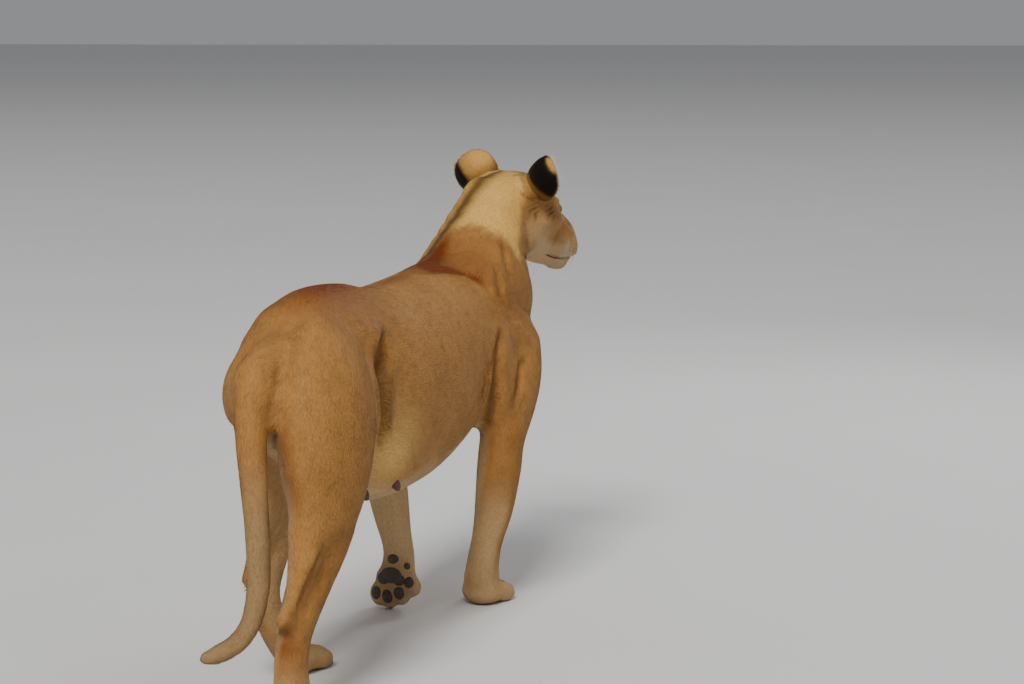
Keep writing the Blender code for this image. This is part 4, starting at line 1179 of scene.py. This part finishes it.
def scattered(mesh, sizes, chance):
    """Roots of tufts over the skin, with their normals, as many as each region wears."""
    corners = triangles_of(mesh)
    spots, normal = spots_of(mesh), normals_of(mesh)
    faces = spots[corners]
    area = np.linalg.norm(np.cross(faces[:, 1] - faces[:, 0], faces[:, 2] - faces[:, 0]), axis=1) / 2
    middle = faces.mean(1)
    group = group_of(survey(middle)[0], near_ears(middle)[0])
    density = np.array([row[3] for row in GROUPS.values()])[group] * sizes.coat_density
    wanted = area * density * fineness(middle) ** -1.6
    number = np.floor(wanted + chance.random(len(wanted))).astype(int)
    picked = np.repeat(np.arange(len(corners)), number)
    share = chance.random((len(picked), 2))
    flip = share.sum(1) > 1
    share[flip] = 1 - share[flip]
    weights = np.stack([1 - share.sum(1), share[:, 0], share[:, 1]], 1)[:, :, None]
    return (faces[picked] * weights).sum(1), unit((normal[corners[picked]] * weights).sum(1))


def bare(spots, made):
    """Whether a spot has no tufts: the nose, pads, lids and lips."""
    local = into(HEAD_AXES, spots)
    gone = (made["nose"] > 0.4) | (made["pad"] > 0.4)
    for side in (LEFT, RIGHT):
        outside, ahead = almond(local, side)
        near = (np.linalg.norm(local - eye_at(side), axis=1) < 0.04) & (ahead > 0)
        gone |= near & (outside < 1.24)
    on_lip = (np.abs(over_mouth(local) + 0.001) < 0.0028) & (local[:, 1] < -0.120)
    return gone | on_lip & (np.linalg.norm(local, axis=1) < 0.3)


def laid(skin, spots, heights, chosen):
    """The chosen spots, moved to their heights over the skin."""
    tree = BVHTree.FromPolygons(spots_of(skin.data).tolist(), triangles_of(skin.data).tolist())
    for index in np.flatnonzero(chosen):
        place, normal, _, away = tree.find_nearest(spots[index])
        if away < LAID_REACH:
            spots[index] = place + normal * heights[index]
    return spots


def lie_of(roots, ups, lie, chance):
    """The way each tuft points along the skin, and the way across it."""
    flat = unit(lie - ups * (lie * ups).sum(1)[:, None])
    aside = np.cross(ups, flat)
    # it wanders a little from place to place, and from tuft to tuft
    wander = 0.20 * np.sin(roots[:, 1] * 31 + roots[:, 2] * 23) + 0.16 * np.sin(roots[:, 2] * 57 - roots[:, 1] * 41)
    angle = wander + chance.normal(0, 0.16, len(roots))
    flat = flat * np.cos(angle)[:, None] + aside * np.sin(angle)[:, None]
    return flat, np.cross(ups, flat)


def coat_of(skin, sizes):
    """All tufts, in pieces by region."""
    chance = np.random.default_rng(7)
    roots, ups = scattered(skin.data, sizes, chance)
    made = markings(roots, ups)
    keep = ~bare(roots, made)
    roots, ups = roots[keep], ups[keep]
    made = {name: values[keep] for name, values in made.items()}
    region, lie, run, turn = survey(roots)
    on_ear, ear_lie = near_ears(roots)
    lie[on_ear] = ear_lie[on_ear]
    group = group_of(region, on_ear)
    long, wide, lifted, _ = np.array(list(GROUPS.values()))[group].T
    flat, aside = lie_of(roots, ups, lie, chance)
    fine = fineness(roots)
    length = sizes.hair_length * long * fine * chance.uniform(0.65, 1.25, len(roots))
    width = sizes.hair_width * wide * fine * chance.uniform(0.7, 1.3, len(roots))
    ruffle = 0.5 + 0.5 * np.sin(roots[:, 1] * 71 + 3 * np.sin(roots[:, 2] * 37)) * np.sin(roots[:, 2] * 63)
    lift = (0.0006 + 0.0010 * chance.random(len(roots)) ** 2 + 0.0005 * ruffle) * lifted * fine
    length *= np.where((GROUP_NAMES[group] == "tail") & (run > 0.62), 1.15, 1.0)
    length *= 1 + 0.5 * made["cream"] * np.isin(GROUP_NAMES[group], ("trunk", "neck"))
    tone = chance.random(len(roots))
    middle = roots + flat * (BEND_AT * length)[:, None] + ups * (0.5 * lift + BEND_HEIGHT)[:, None]
    # the tips lie down again on the hair behind, but for the strays
    heights = np.where(chance.random(len(roots)) < STRAYS, 1.0, 0.4) * lift
    tip = laid(skin, roots + flat * length[:, None], heights, ~on_ear)
    tip[on_ear] += (ups * lift[:, None])[on_ear]
    for spots in (tip, middle):
        spots[:, 2] = np.maximum(spots[:, 2], FLOOR_GAP)
    half = aside * (width / 2)[:, None]
    kites = np.stack([roots - ups * ROOT_DEPTH, middle - half, tip, middle + half], 1)
    on_left = roots[:, 0] >= np.interp(roots[:, 1], (-0.6, -0.3), (-0.04, 0.0))
    label = np.char.add(GROUP_NAMES[group], np.where(on_left, "_left", "_right"))
    whole = np.isin(GROUP_NAMES[group], WHOLE_GROUPS)
    label[whole] = GROUP_NAMES[group[whole]]
    pieces = []
    for name in sorted(set(label)):
        chosen = np.flatnonzero(label == name)
        parts = -(-len(chosen) // MOST_TUFTS)
        for part in range(parts):
            some = chosen[part::parts]
            title = f"coat_{name}" + (f"_{part + 1}" if parts > 1 else "")
            masks_here = {key: values[some] for key, values in made.items()}
            pieces.append(tuft_piece(title, kites[some], run[some], turn[some], tone[some], masks_here))
    return pieces


def stretched(values):
    """Values spread over the width of a map, within its margins."""
    return (values - values.min()) / max(np.ptp(values), 1e-6) * 0.94 + 0.03


def tuft_piece(title, kites, run, turn, tone, made):
    """One coat piece: each tuft is a thin kite that starts in the skin."""
    count = len(kites)
    mesh = bpy.data.meshes.new(title)
    mesh.vertices.add(count * 4)
    move_spots(mesh, kites)
    order = np.arange(count)[:, None] * 4 + np.array((0, 1, 3, 1, 2, 3))
    mesh.loops.add(count * 6)
    mesh.loops.foreach_set("vertex_index", order.astype(np.int32).ravel())
    mesh.polygons.add(count * 2)
    mesh.polygons.foreach_set("loop_start", np.arange(count * 2, dtype=np.int32) * 3)
    mesh.update(calc_edges=True)
    mesh.shade_smooth()
    store(mesh, "along", np.tile((0.0, 0.5, 1.0, 0.5), count))
    store(mesh, "tone", np.repeat(tone, 4))
    paint(mesh, {name: np.repeat(values, 4) for name, values in made.items()})
    # on the map a tuft is a small patch at its root's place round and along the body
    patch = np.array(((0, -PATCH), (-PATCH, 0), (0, PATCH), (PATCH, 0)))
    corners = np.stack([stretched(turn), stretched(run)], 1)[:, None, :] + patch[None]
    layer = mesh.uv_layers.new(name="OFBake")
    layer.data.foreach_set("uv", corners.reshape(-1, 2)[order.ravel()].astype(np.float32).ravel())
    return placed(title, mesh)


# ---------------------------------------------------------------- materials
class Shade:
    """An output of a material's nodes. Arithmetic on it adds Math nodes."""

    def __init__(self, tree, socket):
        self.tree, self.socket = tree, socket

    def node(self, kind, settings=None, inputs=None, output=0):
        """Adds a node, with its settings first and then its sockets, and gives one of its outputs."""
        made = self.tree.nodes.new(kind)
        for name, value in (settings or {}).items():
            setattr(made, name, value)
        for name, value in (inputs or {}).items():
            socket = made.inputs[name]
            if isinstance(value, Shade):
                self.tree.links.new(value.socket, socket)
            elif socket.type == "RGBA":
                socket.default_value = (*value, 1)
            else:
                socket.default_value = value
        return Shade(self.tree, made.outputs[output])

    def math(self, operation, *values):
        return self.node("ShaderNodeMath", {"operation": operation}, dict(enumerate(values)))

    def __add__(self, other):
        return self.math("ADD", self, other)

    def __radd__(self, other):
        return self.math("ADD", other, self)

    def __rsub__(self, other):
        return self.math("SUBTRACT", other, self)

    def __mul__(self, other):
        return self.math("MULTIPLY", self, other)

    def noise(self, spots, scale, detail=3.0, roughness=0.55):
        inputs = {"Vector": spots, "Scale": scale, "Detail": detail, "Roughness": roughness}
        return self.node("ShaderNodeTexNoise", {}, inputs)

    def between(self, low, high):
        """0 below low, 1 above high."""
        inputs = {"Value": self, "From Min": low, "From Max": high}
        return self.node("ShaderNodeMapRange", {"interpolation_type": "SMOOTHSTEP"}, inputs)

    def mix(self, near, far):
        """Near where this is 0, far where it is 1. Both are colours."""
        return self.node("ShaderNodeMix", {"data_type": "RGBA"}, {0: self, 6: near, 7: far}, 2)

    def scaled(self, colour):
        """A colour made darker or lighter by this."""
        grey = self.node("ShaderNodeCombineXYZ", {}, {0: self, 1: self, 2: self})
        return self.node("ShaderNodeVectorMath", {"operation": "MULTIPLY"}, {0: colour, 1: grey})


def material(name, roughness, **fixed):
    """A new material. Gives it with a Shade to build on, and a function that fills the shader's sockets."""
    made = bpy.data.materials.new(name)
    made.use_nodes = True
    tree = made.node_tree
    shader = tree.nodes["Principled BSDF"]

    def fill(**sockets):
        for name, value in sockets.items():
            socket = shader.inputs[name.replace("_", " ")]
            if isinstance(value, Shade):
                tree.links.new(value.socket, socket)
            else:
                socket.default_value = value

    fill(Roughness=roughness, **fixed)
    return made, Shade(tree, None), fill


def object_spots(start):
    return start.node("ShaderNodeTexCoord", {}, {}, "Object")


def stored(start, name, output="Fac"):
    return start.node("ShaderNodeAttribute", {"attribute_name": name}, {}, output)


def masks(start, name):
    """The three masks that one attribute holds."""
    vector = stored(start, name, "Vector")
    return [start.node("ShaderNodeSeparateXYZ", {}, {0: vector}, axis) for axis in "XYZ"]


def dimmed(colour, share):
    return tuple(min(part * share, 1) for part in colour)


def fur_colour(start, spots, colours):
    """The coat's colour, the same for the skin and for the tufts."""
    rufous, sand, cream = masks(start, "marks_warm")
    umber, black, ash = masks(start, "marks_dark")
    crest, nose, pad = masks(start, "marks_fine")
    broad = start.noise(spots, 9.0, 2.0)
    patchy = start.noise(spots, 38.0, 3.0, 0.6)
    fleck = start.noise(spots, 150.0, 2.0, 0.6)
    colour = (patchy.between(0.42, 0.66) * 0.24).mix(colours.tawny, colours.umber)
    colour = (broad.between(0.45, 0.70) * 0.12).mix(colour, colours.rufous)
    colour = (rufous * 0.96).mix(colour, colours.rufous)
    colour = sand.mix(colour, colours.sand)
    colour = (ash * 0.8).mix(colour, colours.ash)
    colour = cream.mix(colour, colours.cream)
    # the umber mask also carries painted shade along the folds
    colour = (umber * 0.8 + fleck.between(0.60, 0.72) * 0.24 * (1 - cream * 0.6)).mix(colour, colours.umber)
    colour = (crest * 0.92).mix(colour, dimmed(colours.umber, 0.42))
    # the black mask also carries painted shade in the deepest folds, the thigh pocket and the ears' cups
    colour = black.mix(colour, colours.black)
    colour = nose.mix(colour, colours.nose)
    return pad.mix(colour, colours.pad)


def skin_material(colours):
    made, start, fill = material("skin", 0.75)
    spots = object_spots(start)
    colour = fur_colour(start, spots, colours)
    grain = start.noise(spots, 420.0, 3.0, 0.6)
    colour = (0.62 + grain * 0.5).scaled(colour)
    fine = start.noise(spots, 900.0, 2.0)
    bumped = start.node("ShaderNodeBump", {}, {"Strength": 0.5, "Distance": 0.0008, "Height": grain * 0.6 + fine * 0.4})
    fill(Base_Color=colour, Normal=bumped)
    return made


def coat_material(colours):
    sheen = {"Sheen_Weight": 0.08, "Sheen_Roughness": 0.45, "Sheen_Tint": (1.0, 0.72, 0.42, 1.0)}
    made, start, fill = material("coat", 0.62, Specular_IOR_Level=0.15, **sheen)
    spots = object_spots(start)
    colour = fur_colour(start, spots, colours)
    tone, along = stored(start, "tone"), stored(start, "along")
    colour = (0.76 + tone * 0.32 + along * 0.12).scaled(colour)
    fill(Base_Color=colour, Roughness=0.55 + tone * 0.25)
    return made


def eye_material(colours):
    made, start, fill = material("eye", 0.30, Coat_Weight=1.0, Coat_Roughness=0.02, Specular_IOR_Level=0.1)
    spots = object_spots(start)
    angle = stored(start, "angle")
    fibres = start.noise(spots, 700.0, 4.0, 0.7)
    flecks = start.noise(spots, 260.0, 2.0)
    amber = (fibres.between(0.35, 0.75) * 0.6).mix(colours.iris, dimmed(colours.iris, 0.42))
    amber = angle.between(0.20, 0.42).mix(dimmed(colours.iris, 1.5), amber)
    colour = angle.between(0.235, 0.262).mix((0.004, 0.003, 0.003), amber)
    colour = angle.between(0.720, 0.780).mix(colour, (0.012, 0.008, 0.006))
    colour = (angle + flecks * 0.10).between(0.90, 1.02).mix(colour, (0.070, 0.045, 0.030))
    fill(Base_Color=colour)
    return made


def leather_material(name, colour, roughness):
    made, start, fill = material(name, roughness)
    spots = object_spots(start)
    cells = start.node("ShaderNodeTexVoronoi", {"feature": "DISTANCE_TO_EDGE"}, {"Vector": spots, "Scale": 520.0})
    tint = start.noise(spots, 90.0, 3.0)
    shade = (0.72 + tint * 0.5).scaled(tint.between(0.4, 0.8).mix(colour, dimmed(colour, 0.55)))
    bumped = start.node("ShaderNodeBump", {}, {"Strength": 0.6, "Distance": 0.0006, "Height": cells.between(0.0, 0.12)})
    fill(Base_Color=shade, Normal=bumped, Roughness=roughness - 0.1 + tint * 0.2)
    return made


def hair_material(colours):
    made, start, fill = material("whisker", 0.4)
    spots = object_spots(start)
    tint = start.noise(spots, 60.0, 2.0)
    fill(Base_Color=(0.8 + tint * 0.3).scaled(tint.between(0.3, 0.8).mix(colours.whisker, colours.cream)))
    return made


# ---------------------------------------------------------------- eyes, lids, pads, whiskers
def eye_piece(side):
    """An eyeball with a bulging cornea, turned to its gaze."""
    gaze = Vector((side * 0.30, -0.95, 0.02))
    turn = (HEAD_AXES.to_3x3() @ gaze).to_track_quat("Z", "Y").to_matrix().to_4x4()
    cage = bmesh.new()
    bmesh.ops.create_uvsphere(cage, u_segments=64, v_segments=48, radius=EYE_RADIUS - 0.0002)
    for vert in cage.verts:
        angle = vert.co.angle((0, 0, 1))
        vert.co *= 1 + 0.055 * math.exp(-((angle / 0.52) ** 4))
    angles = [vert.co.angle((0, 0, 1)) for vert in cage.verts]
    bmesh.ops.transform(
        cage, matrix=Matrix.Translation(HEAD_AXES @ Vector(eye_at(side))) @ turn, verts=list(cage.verts)
    )
    made = piece_of("eyeball_left" if side == LEFT else "eyeball_right", cage)
    store(made.data, "angle", angles)
    return made


# The rims of the lids in rings: size against the opening, and height over the eyeball.
LID_RINGS = ((0.97, -0.0012), (0.985, 0.0012), (1.06, 0.0022), (1.20, 0.0022), (1.34, 0.0004), (1.42, -0.0020))
LID_STEPS = 72


def lid_piece(side):
    """The rims of both lids of one eye."""
    across, upward, forward = eye_axes(side)
    centre = eye_at(side)
    cage = bmesh.new()
    made = []
    for size, rise in LID_RINGS:
        ring = []
        for step in range(LID_STEPS):
            turn = math.tau * step / LID_STEPS
            wide, high = math.cos(turn) * LID_HALF, math.sin(turn)
            high *= (LID_UP if high > 0 else LID_DOWN) * (1 - 0.25 * max(-math.cos(turn), 0))
            off = across * wide * size + upward * high * size
            radius = EYE_RADIUS + rise
            depth = math.sqrt(max(radius**2 - float(off @ off), 1e-8))
            ring.append(cage.verts.new(HEAD_AXES @ Vector(centre + off + forward * depth)))
        made.append(ring)
    bridged(cage, made)
    return piece_of("lids_left" if side == LEFT else "lids_right", cage)


def tapered(cage, path, thick, sides=5):
    """A hair along a path, thick at its root and fine at its tip."""
    last = len(path) - 1
    rings = []
    for index, spot in enumerate(path):
        along = (Vector(path[min(index + 1, last)]) - Vector(path[max(index - 1, 0)])).normalized()
        turn = along.to_track_quat("Z", "Y").to_matrix().to_4x4()
        place = Matrix.Translation(spot) @ turn
        radius = thick * (1 - 0.9 * index / last)
        ring = bmesh.ops.create_circle(cage, segments=sides, radius=radius, cap_ends=index in (0, last), matrix=place)
        rings.append(ring["verts"])
    bridged(cage, rings)


def bent(place, root, out, sag, long, shares):
    """A path that leaves its root outwards and bends by a sag on its way."""
    return [place @ Vector(root + out * long * t + sag * long * t * t) for t in shares]


def whisker_piece(sizes):
    """Whiskers of the lip in four rows, and a few over each eye."""
    chance = np.random.default_rng(3)
    cage = bmesh.new()
    for side in (LEFT, RIGHT):
        for row in range(4):
            for step in range(5):
                root = np.array(whisker_root(row, step)) * (side, 1, 1)
                long = sizes.whisker_length * chance.uniform(0.6, 1.0) * (1 - 0.08 * abs(row - 1.5))
                out = np.array((side * 0.50, 0.30 + 0.12 * step, -0.42 - 0.16 * row))
                out /= np.linalg.norm(out)
                sag = np.array((side * -0.10, 0.20, -0.34))
                tapered(cage, bent(HEAD_AXES, root, out, sag, long, np.linspace(0, 1, 9)), 0.00045)
        for step in range(4):
            root = np.array((side * (0.036 + 0.005 * step), -0.112 + 0.004 * step, 0.042))
            out = np.array((side * 0.35, -0.25, 0.8))
            sag = np.array((side * 0.2, 0.5, -0.1))
            long = 0.045 * chance.uniform(0.7, 1.0)
            tapered(cage, bent(HEAD_AXES, root, out, sag, long, np.linspace(0, 1, 7)), 0.0003)
    return piece_of("whiskers", cage)


# pads of a paw that stands: across and ahead of its ball, with half width and half length
STANDING_PADS = ((0, 0.006, 0.030, 0.022), (-0.036, -0.062, 0.0105, 0.0150), (-0.013, -0.076, 0.0110, 0.0160),
                 (0.013, -0.076, 0.0110, 0.0160), (0.036, -0.062, 0.0105, 0.0150))
PAD_HALF_HEIGHT, LIFTED_PAD_HALF_DEPTH = 0.0072, 0.0090
# the pads of the lifted paw: x, y and z, half width and half height
LIFTED_PADS = ((0.100, -0.2150, 0.089, 0.029, 0.020), (0.080, -0.2160, 0.080, 0.017, 0.015),
               (0.120, -0.2160, 0.080, 0.017, 0.015), (0.098, -0.2220, 0.128, 0.015, 0.012),
               (0.063, -0.2265, 0.112, 0.008, 0.009), (0.141, -0.2200, 0.040, 0.0135, 0.0170),
               (0.112, -0.2190, 0.035, 0.0140, 0.0175), (0.081, -0.2190, 0.047, 0.0140, 0.0170),
               (0.055, -0.2200, 0.074, 0.0125, 0.0155))


def pad_piece():
    cage = bmesh.new()
    for (x, y, _), heading, _ in STANDING:
        turn = Matrix.Translation((x, y, 0)) @ Matrix.Rotation(math.radians(heading), 4, "Z")
        for across, ahead, half, long in STANDING_PADS:
            mass(cage, (across, ahead, PAD_HALF_HEIGHT), (half, long, PAD_HALF_HEIGHT), into=turn)
    for x, y, z, half, high in LIFTED_PADS:
        mass(cage, (x, y, z), (half, LIFTED_PAD_HALF_DEPTH, high), (0, 8, 0))
    return piece_of("paw_pads", cage)


def teat_piece():
    cage = bmesh.new()
    for side in (LEFT, RIGHT):
        for x, y, z in ((0.108, 0.190, 0.414), (0.080, 0.285, 0.410)):
            mass(cage, (side * x, y, z), (0.0100, 0.0110, 0.0190), (0, side * -30, 0))
    return piece_of("teats", cage)


RIM_HAIRS, CUP_HAIRS = 260, 420  # on each ear
FRINGE_STEPS = (0, 0.35, 0.7, 1)


def fringe_piece():
    """Long fine hairs that stand out of the ears' rims and inner edges."""
    chance = np.random.default_rng(5)
    cage = bmesh.new()
    for side in (LEFT, RIGHT):
        place = ear_place(side)
        for _ in range(RIM_HAIRS):
            turn = chance.uniform(-1.35, 1.35)
            x, z = math.sin(turn), math.cos(turn)
            root = Vector((
                power(x, EAR_ROUNDNESS) * EAR_HALF_WIDTH * 0.95,
                -ear_fold(x) + chance.uniform(-0.004, 0.003),
                EAR_HALF_LENGTH * (1 + power(z, EAR_ROUNDNESS) * 0.95),
            ))
            out = Vector((x * 0.6 + chance.normal(0, 0.15), -0.5 + chance.normal(0, 0.25), 0.25 + z * 0.6))
            long = chance.uniform(0.007, 0.016)
            tapered(cage, bent(place, root, out, Vector((0, -0.2, -0.1)), long, FRINGE_STEPS), 0.00030, 3)
        for _ in range(CUP_HAIRS):
            x, z = chance.uniform(-0.75, 0.75), chance.uniform(0.15, 1.5)
            root = Vector((x * EAR_HALF_WIDTH, EAR_DEPTH * 0.45 * (1 - x * x), EAR_HALF_LENGTH * z))
            out = Vector((-x * 0.5 + chance.normal(0, 0.2), -0.55, 0.75))
            long = chance.uniform(0.012, 0.026)
            tapered(cage, bent(place, root, out, Vector((0, -0.1, 0.2)), long, FRINGE_STEPS), 0.00045, 3)
    return piece_of("ear_fringe", cage)


# ---------------------------------------------------------------- operators
def finish_piece(piece, finish, *nodes, slot="coat_tan"):
    """Sets a piece in the frame, gives it its material, hangs it under the root and hides the parts it stands for."""
    piece.data.transform(Matrix.Translation(STANCE))
    piece.data.materials.append(finish)
    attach(piece, "root")
    if nodes:
        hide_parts(*nodes)


def sizes_now():
    return bpy.context.scene.lioness_sizes


def colours_now():
    """The colours as plain triples."""
    chosen = bpy.context.scene.lioness_colours
    return SimpleNamespace(**{name: tuple(getattr(chosen, name)) for name in LionessColours.__annotations__})


class LIONESS_OT_skin(bpy.types.Operator):
    """Builds the skin with its folds, face and ears"""

    bl_idname = "lioness.skin"
    bl_label = "Skin"

    def execute(self, context):
        skin = skin_clay(sizes_now())
        paint(skin.data, markings(spots_of(skin.data), normals_of(skin.data)))
        flesh = [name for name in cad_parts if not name.startswith("eye_")]
        finish_piece(skin, skin_material(colours_now()), *flesh)
        return {"FINISHED"}


class LIONESS_OT_eyes(bpy.types.Operator):
    """Builds the eyeballs and the rims of the lids"""

    bl_idname = "lioness.eyes"
    bl_label = "Eyes"

    def execute(self, context):
        colours = colours_now()
        amber, rim = eye_material(colours), leather_material("lid", colours.black, 0.45)
        for side, node in ((LEFT, "eye_left"), (RIGHT, "eye_right")):
            finish_piece(eye_piece(side), amber, node, slot="eyeball")
            finish_piece(lid_piece(side), rim, slot="coat_dark")
        return {"FINISHED"}


class LIONESS_OT_bare_parts(bpy.types.Operator):
    """Builds the pads of the paws and the teats"""

    bl_idname = "lioness.bare_parts"
    bl_label = "Pads and teats"

    def execute(self, context):
        colours = colours_now()
        finish_piece(pad_piece(), leather_material("pad", colours.pad, 0.6), slot="coat_dark")
        finish_piece(teat_piece(), leather_material("teat", colours.nose, 0.5), slot="coat_dark")
        return {"FINISHED"}


class LIONESS_OT_hairs(bpy.types.Operator):
    """Builds the whiskers and the fringes of the ears"""

    bl_idname = "lioness.hairs"
    bl_label = "Whiskers and fringes"

    def execute(self, context):
        finish = hair_material(colours_now())
        finish_piece(whisker_piece(sizes_now()), finish, slot="coat_pale")
        finish_piece(fringe_piece(), finish, slot="coat_pale")
        return {"FINISHED"}


class LIONESS_OT_coat(bpy.types.Operator):
    """Lays the coat over the skin in tufts"""

    bl_idname = "lioness.coat"
    bl_label = "Coat"

    def execute(self, context):
        skin = bpy.data.objects["lioness_skin"]
        skin.data.transform(Matrix.Translation(-STANCE))
        finish = coat_material(colours_now())
        for piece in coat_of(skin, sizes_now()):
            finish_piece(piece, finish)
        skin.data.transform(Matrix.Translation(STANCE))
        return {"FINISHED"}


FLOOR_HALF = 400
# Soft lamps: place and width. Their power is set on the stage.
LAMPS = {"key": ((-4.0, 25.0, 29.5), 12.5), "fill": ((-4.0, 1.0, 2.4), 3.5), "front": ((-1.0, -4.0, 3.0), 1.6)}
LIT_POINT = (0, 0, 0.6)
SKY_COLOUR = (0.93, 0.95, 1.0, 1)
CAMERA_AT, CAMERA_YAW, CAMERA_PITCH = (-1.99371, 4.15285, 1.3612), 22.45, 8.4  # degrees to her left, and down


class LIONESS_OT_stage(bpy.types.Operator):
    """Sets the floor, the lights and the camera"""

    bl_idname = "lioness.stage"
    bl_label = "Stage"

    def execute(self, context):
        stage = context.scene.lioness_stage
        cage = bmesh.new()
        bmesh.ops.create_grid(cage, x_segments=1, y_segments=1, size=FLOOR_HALF)
        floor = piece_of("floor", cage)
        finish, start, fill = material("floor", 0.9)
        tint = start.noise(object_spots(start), 1.2, 2.0)
        fill(Base_Color=(0.97 + tint * 0.06).scaled(tuple(stage.floor)))
        floor.data.materials.append(finish)
        for name, (place, size) in LAMPS.items():
            data = bpy.data.lights.new(name, "AREA")
            data.size, data.energy = size, getattr(stage, name)
            self.aim(placed(name, data), place, Vector(LIT_POINT) - Vector(place))
        world = bpy.data.worlds.new("sky")
        world.use_nodes = True
        sky = world.node_tree.nodes["Background"].inputs
        sky["Color"].default_value, sky["Strength"].default_value = SKY_COLOUR, stage.sky
        context.scene.world = world
        camera = placed("camera", bpy.data.cameras.new("camera"))
        yaw, pitch = math.radians(CAMERA_YAW), math.radians(CAMERA_PITCH)
        ahead = Vector((math.sin(yaw) * math.cos(pitch), -math.cos(yaw) * math.cos(pitch), -math.sin(pitch)))
        self.aim(camera, CAMERA_AT, ahead)
        camera.data.lens = stage.lens
        context.scene.camera = camera
        return {"FINISHED"}

    def aim(self, obj, place, ahead):
        obj.location = place
        obj.rotation_euler = ahead.to_track_quat("-Z", "Y").to_euler()


STEPS = (LIONESS_OT_stage, LIONESS_OT_skin, LIONESS_OT_eyes, LIONESS_OT_bare_parts, LIONESS_OT_hairs, LIONESS_OT_coat)
GROUPS_OF_SETTINGS = {
    "lioness_colours": LionessColours,
    "lioness_sizes": LionessSizes,
    "lioness_stage": LionessStage,
}


class LIONESS_PT_panel(bpy.types.Panel):
    """Lists the steps that build the lioness"""

    bl_idname = "LIONESS_PT_panel"
    bl_label = "Lioness"
    bl_space_type = "VIEW_3D"
    bl_region_type = "UI"
    bl_category = "Lioness"

    def draw(self, context):
        for step in STEPS:
            self.layout.operator(step.bl_idname)
        for name, group in GROUPS_OF_SETTINGS.items():
            box = self.layout.box()
            for setting in group.__annotations__:
                box.prop(getattr(context.scene, name), setting)


def register():
    for kind in (*GROUPS_OF_SETTINGS.values(), *STEPS, LIONESS_PT_panel):
        bpy.utils.register_class(kind)
    for name, group in GROUPS_OF_SETTINGS.items():
        setattr(bpy.types.Scene, name, bpy.props.PointerProperty(type=group))


def unregister():
    for name in GROUPS_OF_SETTINGS:
        delattr(bpy.types.Scene, name)
    for kind in (LIONESS_PT_panel, *reversed(STEPS), *reversed(GROUPS_OF_SETTINGS.values())):
        bpy.utils.unregister_class(kind)


def main():
    register()
    bpy.ops.lioness.stage()
    bpy.ops.lioness.skin()
    bpy.ops.lioness.eyes()
    bpy.ops.lioness.bare_parts()
    bpy.ops.lioness.hairs()
    bpy.ops.lioness.coat()


if __name__ == "__main__":
    main()
